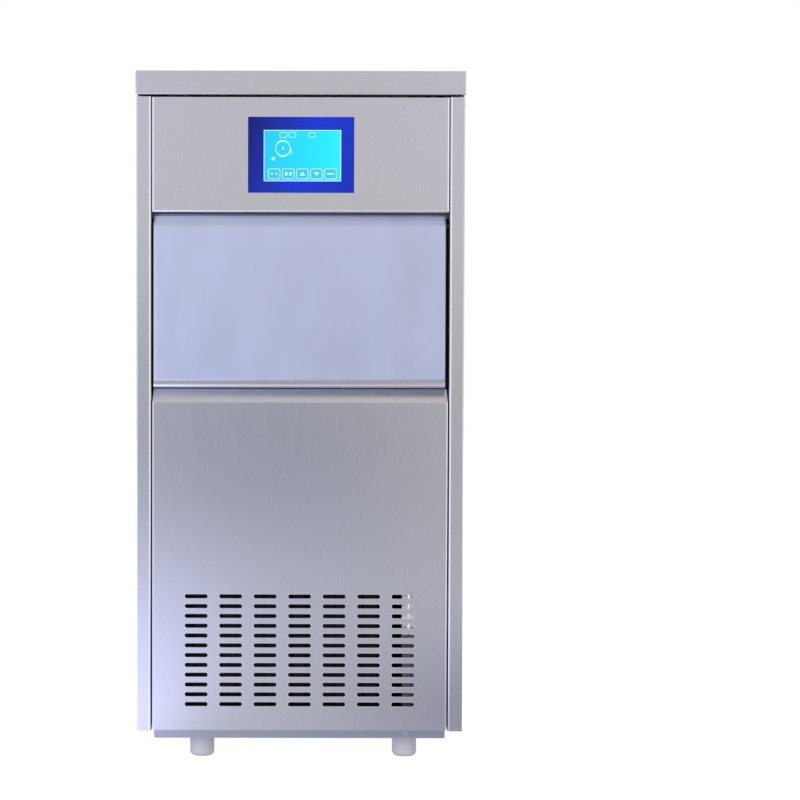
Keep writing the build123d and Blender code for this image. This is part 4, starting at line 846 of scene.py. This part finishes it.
def display_marks(centre, y):
    """Pale marks: the dial's thick arcs, pointer and side bar, and a plain shape on each key."""
    parts = []
    dial, arc_points = centre + DIAL, 16
    for middle in (math.pi / 2, -math.pi / 2):
        angle = np.linspace(middle - 0.8, middle + 0.8, arc_points)
        ray = np.stack((np.cos(angle), np.sin(angle)), axis=-1)
        rows = np.stack((dial + ray * 0.0099, dial + ray * 0.0083))
        parts.append((on_front(rows, y), grid_quads(2, arc_points)[:, ::-1].tolist()))
    parts.append(patch((dial + (-0.0016, -0.001), dial + (0.0016, -0.001), dial + (0, 0.0022)), y))
    parts.append(oblong(dial + (0.0092, -0.0066), dial + (0.0106, 0), y))
    dots, bars, up, down, wide = key_middles(centre)
    for side in (-0.0026, 0.0026):
        path, _ = ring_path(dots + (side, 0), 0.0011, 14)
        parts.append(patch(path, y))
        bar = bars + (side, 0)
        parts.append(oblong(bar + (-0.0014, -0.002), bar + (0.0014, 0.002), y))
    parts.append(patch((up + (-0.0034, -0.002), up + (0.0034, -0.002), up + (0, 0.0026)), y))
    parts.append(patch((down + (0, -0.0026), down + (0.0034, 0.002), down + (-0.0034, 0.002)), y))
    parts.append(oblong(wide + (-0.0042, -0.0008), wide + (0.0042, 0.0008), y))
    return parts


class ICEMAKER_OT_make_screws(bpy.types.Operator):
    """Cross-recessed heads for the casing screws and slotted ones for the terminals"""

    bl_idname = "icemaker.make_screws"
    bl_label = "Make Screws"

    def execute(self, context):
        settings = context.scene.icemaker_hardware
        steel = solid_metal("screw_steel", srgb(178, 180, 188), 0.32, 500.0, 0.05)
        radius, height, depth = settings.head_diameter / 2, settings.head_height, settings.recess_depth
        seats = [screw_seat(low, high, height) for low, high in island_boxes("casing_screws")]
        heads = [screw_head(seat, outward, radius, height, depth) for seat, outward in seats]
        screws = piece_from("casing_screw_heads", *gathered(heads), steel, "cabinet")
        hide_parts("casing_screws")
        low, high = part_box("terminal_block")
        half_cell, cell_pitch, cell_count = 0.0032, 0.0084, 5
        row_depths = (0.008, 0.030, 0.0513)
        radius, height, depth = settings.terminal_head / 2, 0.0007, 0.0004
        small = [screw_head((low.x + half_cell + cell * cell_pitch, low.y, high.z - row),
                            FRONT, radius, height, depth, crossed=False)
                 for row in row_depths for cell in range(cell_count)]
        brass = solid_metal("terminal_brass", srgb(176, 160, 120), 0.35, 500.0, 0.05)
        terminals = piece_from("terminal_screws", *gathered(small), brass, "cabinet")
        return {"FINISHED"}


def screw_seat(low, high, height):
    """Seat and outward direction of a screw's head, from the box round its solid. A screw that is
    thinnest from front to back faces the nearer of those two, and any other the nearer side."""
    middle = (low + high) / 2
    if np.argmin(high - low) == 1:
        outward = FRONT if middle[1] < 0 else BACK
    else:
        outward = LEFT if middle[0] < 0 else RIGHT
    seat = np.where(outward < 0, low + height, high - height)
    return np.where(outward == 0, middle, seat), outward


class ICEMAKER_OT_make_slot_lips(bpy.types.Operator):
    """The rolled lips round the slots of the lower panel, in steel lighter than the sheet: a painted
    highlight on a real lip
    """

    bl_idname = "icemaker.make_slot_lips"
    bl_label = "Make Slot Lips"

    def execute(self, context):
        settings = context.scene.icemaker_slots
        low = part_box("lower_front_panel")[0]
        # Lighter than the sheet's steel: the light that each lip catches is a painted highlight.
        bright = sheet_metal("slot_lip_painted_highlight_steel", srgb(226, 227, 234), 0.24, (60, 60, 1), 0.02)
        column_count, row_count = 7, 12
        columns = (np.arange(column_count) - column_count // 2) * settings.column_pitch
        rows = low.z + settings.first_row + np.arange(row_count) * settings.row_pitch
        lips = [slot_lip((x, z), low.y, settings) for z in rows for x in columns]
        piece = piece_from("slot_lips", *gathered(lips), bright, "cabinet")
        return {"FINISHED"}


def slot_lip(centre, front_y, settings):
    """A slot's outline is two half circles joined by straight sides. The lip's profile is carried
    round it: from just inside the slot, over a low rounded crest, down to the sheet outside."""
    radius, reach = settings.slot_height / 2, settings.slot_length / 2 - settings.slot_height / 2
    turns = 9
    angle = np.linspace(-math.pi / 2, math.pi / 2, turns)
    angle = np.concatenate((angle, angle + math.pi))
    normal = np.stack((np.cos(angle), np.sin(angle)), axis=-1)
    side = np.repeat((reach, -reach), turns)
    path = np.array(centre) + radius * normal + np.stack((side, np.zeros(2 * turns)), axis=-1)
    outward = np.array((-0.02, 0.12, 0.42, 0.66)) * settings.lip_width
    depth = np.array((0.0006, -0.0001, -0.00012, 0.00002))
    ring = path[:, None, :] + normal[:, None, :] * outward[None, :, None]
    quads = grid_quads(2 * turns, len(outward), close_rows=True)
    return on_front(ring, front_y + depth), quads[:, ::-1].tolist()


FOLDS = (
    ("door_foot_fold", "door_skin", "foot", "door"),
    ("panel_foot_fold", "control_panel", "foot", "cabinet"),
    ("panel_left_fold", "control_panel", "left", "cabinet"),
    ("panel_right_fold", "control_panel", "right", "cabinet"),
    ("lower_left_fold", "lower_front_panel", "left", "cabinet"),
    ("lower_right_fold", "lower_front_panel", "right", "cabinet"),
    ("pillar_left_fold", "left_side_panel", "right", "cabinet"),
    ("pillar_right_fold", "right_side_panel", "left", "cabinet"),
)


class ICEMAKER_OT_make_folds(bpy.types.Operator):
    """The folded edges of the sheets in front, as slim beads lighter than the sheet: a painted highlight"""

    bl_idname = "icemaker.make_folds"
    bl_label = "Make Folds"

    def execute(self, context):
        settings = context.scene.icemaker_folds
        # Near-white steel: the highlight that each fold catches is painted into its colour.
        bright = sheet_metal("fold_painted_highlight_steel", srgb(248, 249, 253), 0.24, (1, 60, 60), 0.02)
        for name, sheet, edge, body in FOLDS:
            fold = piece_from(name, *fold_surface(*front_face(sheet), edge, settings), bright, body)
        return {"FINISHED"}


def front_face(node):
    """Low and high corners of the points that lie on a solid's front plane."""
    points, tolerance = solid_points(node), 0.0001
    flat = points[points[:, 1] < points[:, 1].min() + tolerance]
    return flat.min(0), flat.max(0)


def fold_surface(low, high, edge, settings):
    """A slim bead along one edge of a flat face. At the share s of its width it stands
    rise x sin(pi s) proud, less a tuck that sinks its two sides into the sheet."""
    rows, columns, tuck, width = 9, 60, 0.00005, settings.fold_width
    start, along, inward = {
        "foot": ((low[0], low[2]), (high[0] - low[0], 0), (0, width)),
        "left": ((low[0], high[2]), (0, low[2] - high[2]), (width, 0)),
        "right": ((high[0], low[2]), (0, high[2] - low[2]), (-width, 0)),
    }[edge]
    length, share = np.meshgrid(np.linspace(0, 1, columns), np.linspace(0, 1, rows), indexing="xy")
    x = start[0] + along[0] * length + inward[0] * share
    z = start[1] + along[1] * length + inward[1] * share
    y = low[1] + tuck - settings.fold_rise * np.sin(math.pi * share)
    return np.stack((x, y, z), axis=-1).reshape(-1, 3), grid_quads(rows, columns).tolist()


class ICEMAKER_OT_make_gasket(bpy.types.Operator):
    """The soft bellows gasket round the bin's mouth"""

    bl_idname = "icemaker.make_gasket"
    bl_label = "Make Gasket"

    def execute(self, context):
        low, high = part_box("bin_gasket")
        points, faces = gasket_surface(low, high)
        rubber = moulded("gasket_rubber", srgb(48, 49, 53), 0.6, 900.0, 0.12)
        gasket = piece_from("door_gasket", points, faces, rubber, "cabinet")
        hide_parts("bin_gasket")
        return {"FINISHED"}


def gasket_surface(low, high):
    """A profile carried round the mouth: across the width it is a flat foot, two rounded lips in
    front and a shallow groove between them, y = foot - depth(0.62 + 0.38 |sin 1.5 pi s|)."""
    width, corner, depth, steps = 0.012, 0.014, high.y - low.y, 16
    share = np.linspace(0, 1, steps)
    ends = np.minimum(1, 8 * np.minimum(share, 1 - share) + 0.25)
    rise = depth * (0.62 + 0.38 * np.abs(np.sin(1.5 * math.pi * share))) * ends
    offset = np.concatenate((share * width, share[::-1] * width))
    y = np.concatenate((high.y - rise, np.full(steps, high.y)))
    path, normal = rounded_path((low.x + width, low.z + width), (high.x - width, high.z - width), corner, 12)
    ring = path[:, None, :] + normal[:, None, :] * offset[None, :, None]
    quads = grid_quads(len(path), 2 * steps, close_rows=True, close_columns=True)
    return on_front(ring, y), quads.tolist()


class ICEMAKER_OT_set_stage(bpy.types.Operator):
    """Pale floor, soft lamps, even surroundings and the camera"""

    bl_idname = "icemaker.set_stage"
    bl_label = "Set Stage"

    def execute(self, context):
        settings = context.scene.icemaker_studio
        scene = context.scene
        scene.view_settings.view_transform = "Standard"
        surroundings(scene, settings.ambient)
        side, steps = 14.0, 12
        share = np.linspace(-side / 2, side / 2, steps)
        x, y = np.meshgrid(share, share, indexing="xy")
        points = np.stack((x, y, np.zeros_like(x)), axis=-1).reshape(-1, 3)
        matt = studio_floor("studio_floor", tuple(settings.floor), settings.floor_glow)
        mesh_object("studio_floor", points, grid_quads(steps, steps).tolist(), matt)
        for lamp in LAMPS:
            soft_lamp(*lamp)
        for card in GREY_CARDS:
            grey_card(*card)
        scene.camera = studio_camera("camera", settings)
        return {"FINISHED"}


# Each lamp's name, place, target, size and power
LAMPS = (
    ("key_lamp", (-1.7, -2.6, 2.1), (0, 0, 0.4), 1.8, 26),
    ("fill_lamp", (2.3, -2.6, 1.5), (0, 0, 0.4), 1.6, 10),
    ("low_left_lamp", (-1.5, -1.7, 0.25), (0.1, -0.2, 0.2), 1.2, 9),
    ("front_lamp", (-0.3, -3.4, 0.9), (0, 0, 0.3), 0.9, 16),
)


# Each card's name, corner, the sides that start there, tone and rim, as a share of each side
GREY_CARDS = (
    ("rear_room_card", (-2.6, -4.4, 0.3), (5.2, 0, 0), (0, 0, 3.2), (0.66, 0.64, 0.56), 0.15),
    ("rear_low_card", (-2.4, -4.3, -0.5), (4.8, 0, 0), (0, 0, 1.4), (0.76, 0.73, 0.58), 0.2),
    ("left_room_card", (-2.0, -4.1, 0.1), (1.9, 0, 0), (0, 0, 2.2), (0.81, 0.82, 1.02), 0.35),
    ("right_room_card", (0.1, -4.1, 0.3), (1.9, 0, 0), (0, 0, 2.2), (0.86, 0.85, 1.02), 0.35),
    ("low_room_card", (-0.54, -2.2, 0.0), (0.95, 0, 0), (0, 0, 0.6), (0.14, 0.16, 0.23), 0.32),
    ("floor_card", (-2.4, -4.4, 0.002), (4.8, 0, 0), (0, 4.4, 0), (0.62, 0.63, 0.67), 0.08),
    ("left_floor_card", (-1.9, -2.6, 0.004), (1.95, 0, 0), (0, 2.6, 0), (1.33, 1.39, 2.11), 0.4),
    ("near_left_card", (-1.0, -1.9, 0.006), (0.86, 0, 0), (0, 1.62, 0), (1.48, 1.57, 2.25), 0.22),
    ("foot_left_card", (-0.80, -0.85, 0.008), (0.70, 0, 0), (0, 0.59, 0), (1.50, 1.54, 2.02), 0.25),
    ("right_floor_card", (-0.12, -1.15, 0.004), (1.6, 0, 0), (0, 0.95, 0), (0.23, 0.22, 0.32), 0.32),
    ("overhead_card", (-1.3, -2.1, 1.95), (2.6, 0, 0), (0, 2.0, 0), (0.71, 0.68, 0.64), 0.3),
)


def grey_card(name, corner, across, up, tone, rim):
    """A grey card that only reflections see. Its veil, 1 in the middle, falls to 0 at its rim as
    the product of two smooth steps of the distance to the nearest side, each a rim wide."""
    steps = 25
    share = np.linspace(0, 1, steps)
    first, second = np.meshgrid(share, share, indexing="xy")
    points = np.array(corner) + first[..., None] * np.array(across) + second[..., None] * np.array(up)
    edge_a = np.clip(np.minimum(first, 1 - first) / rim, 0, 1)
    edge_b = np.clip(np.minimum(second, 1 - second) / rim, 0, 1)
    veil = edge_a**2 * (3 - 2 * edge_a) * edge_b**2 * (3 - 2 * edge_b)
    quads = grid_quads(steps, steps).tolist()
    card = mesh_object(name, points.reshape(-1, 3), quads, veiled_glow(name, tone))
    card.data.attributes.new("veil", "FLOAT", "POINT").data.foreach_set("value", veil.ravel())
    for sight in ("camera", "diffuse", "transmission", "shadow", "volume_scatter"):
        setattr(card, "visible_" + sight, False)


def veiled_glow(name, tone):
    """An even glow where a card's veil is 1, and nothing where it is 0."""
    material = bpy.data.materials.new(name)
    tree = empty_tree(material)
    glow = add_node(tree, "ShaderNodeEmission", {"Color": (*tone, 1)})
    clear = tree.nodes.new("ShaderNodeBsdfTransparent")
    veil = add_node(tree, "ShaderNodeAttribute", {}, attribute_name="veil")
    mix_out(tree, veil.outputs["Fac"], clear.outputs["BSDF"], glow.outputs["Emission"])
    return material


def mix_out(tree, factor, first, second, output="ShaderNodeOutputMaterial"):
    """Joins a mix of two shaders, the second's share being the factor, to a new output."""
    mixed = add_node(tree, "ShaderNodeMixShader", {"Fac": factor, 1: first, 2: second})
    add_node(tree, output, {"Surface": mixed.outputs["Shader"]})


def seen_by(tree, *rays):
    """1 for a ray of one of the named kinds and 0 for any other: their flags added and clamped."""
    flags = tree.nodes.new("ShaderNodeLightPath").outputs
    total = flags[rays[0]]
    for ray in rays[1:]:
        total = worked_out(tree, "ADD", total, flags[ray], clamp=True)
    return total


def soft_lamp(name, place, target, size, power):
    """A square soft lamp at a place, turned to a target. Reflections see the cards and the white
    surroundings in its stead."""
    data = bpy.data.lights.new(name, "AREA")
    data.shape = "SQUARE"
    data.size = size
    data.energy = power
    lamp = bpy.data.objects.new(name, data)
    lamp.location = place
    lamp.visible_glossy = False
    lamp.rotation_euler = (Vector(target) - Vector(place)).to_track_quat("-Z", "Y").to_euler()
    bpy.context.scene.collection.objects.link(lamp)


def surroundings(scene, ambient):
    """White all round for what is seen directly, mirrored or through glass, and plain even light."""
    scene.world = bpy.data.worlds.new("studio_world")
    tree = empty_tree(scene.world)
    even = add_node(tree, "ShaderNodeBackground", {"Color": WHITE, "Strength": ambient})
    white = add_node(tree, "ShaderNodeBackground", {"Color": WHITE, "Strength": 1.0})
    seen = seen_by(tree, "Is Camera Ray", "Is Glossy Ray", "Is Transmission Ray")
    mix_out(tree, seen, even.outputs["Background"], white.outputs["Background"], "ShaderNodeOutputWorld")


def studio_floor(name, colour, glow):
    """Matt pale floor that shows white to the camera where no shadow lies on it."""
    material = bpy.data.materials.new(name)
    tree = empty_tree(material)
    matt = add_node(tree, "ShaderNodeBsdfDiffuse", {"Color": (*colour, 1)}).outputs["BSDF"]
    light = add_node(tree, "ShaderNodeEmission", {"Color": WHITE, "Strength": glow})
    together = add_node(tree, "ShaderNodeAddShader", {0: matt, 1: light.outputs["Emission"]})
    mix_out(tree, seen_by(tree, "Is Camera Ray", "Is Glossy Ray"), matt, together.outputs["Shader"])
    return material


def studio_camera(name, settings):
    """The camera ahead of the middle, level but for its pitch and roll."""
    data = bpy.data.cameras.new(name)
    data.lens = settings.camera_lens
    data.sensor_width = 36.0
    data.shift_x = settings.camera_shift
    data.clip_end = 60.0
    camera = bpy.data.objects.new(name, data)
    camera.location = (0, -settings.camera_distance, settings.camera_height)
    camera.rotation_euler = (math.pi / 2 - settings.camera_pitch, settings.camera_roll, 0)
    bpy.context.scene.collection.objects.link(camera)
    return camera


OPERATORS = (
    ICEMAKER_OT_finish_casing,
    ICEMAKER_OT_finish_door,
    ICEMAKER_OT_finish_inside,
    ICEMAKER_OT_make_door_film,
    ICEMAKER_OT_make_screen,
    ICEMAKER_OT_make_screws,
    ICEMAKER_OT_make_slot_lips,
    ICEMAKER_OT_make_folds,
    ICEMAKER_OT_make_gasket,
    ICEMAKER_OT_set_stage,
)


class ICEMAKER_PT_sidebar(bpy.types.Panel):
    """Lists the steps that dress the ice maker"""

    bl_idname = "ICEMAKER_PT_sidebar"
    bl_label = "Ice Maker"
    bl_space_type = "VIEW_3D"
    bl_region_type = "UI"
    bl_category = "Ice Maker"

    def draw(self, context):
        column = self.layout.column(align=True)
        for operator in OPERATORS:
            column.operator(operator.bl_idname)


SETTINGS = {
    "icemaker_casing": CasingSettings,
    "icemaker_film": FilmSettings,
    "icemaker_screen": ScreenSettings,
    "icemaker_hardware": HardwareSettings,
    "icemaker_slots": SlotSettings,
    "icemaker_folds": FoldSettings,
    "icemaker_studio": StudioSettings,
}


def register():
    for name, group in SETTINGS.items():
        bpy.utils.register_class(group)
        setattr(bpy.types.Scene, name, bpy.props.PointerProperty(type=group))
    for operator in OPERATORS:
        bpy.utils.register_class(operator)
    bpy.utils.register_class(ICEMAKER_PT_sidebar)


def unregister():
    bpy.utils.unregister_class(ICEMAKER_PT_sidebar)
    for operator in reversed(OPERATORS):
        bpy.utils.unregister_class(operator)
    for name, group in reversed(SETTINGS.items()):
        delattr(bpy.types.Scene, name)
        bpy.utils.unregister_class(group)


def main():
    """Registers the add-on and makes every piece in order."""
    register()
    for operator in OPERATORS:
        group, action = operator.bl_idname.split(".")
        getattr(getattr(bpy.ops, group), action)()


if __name__ == "__main__":
    main()
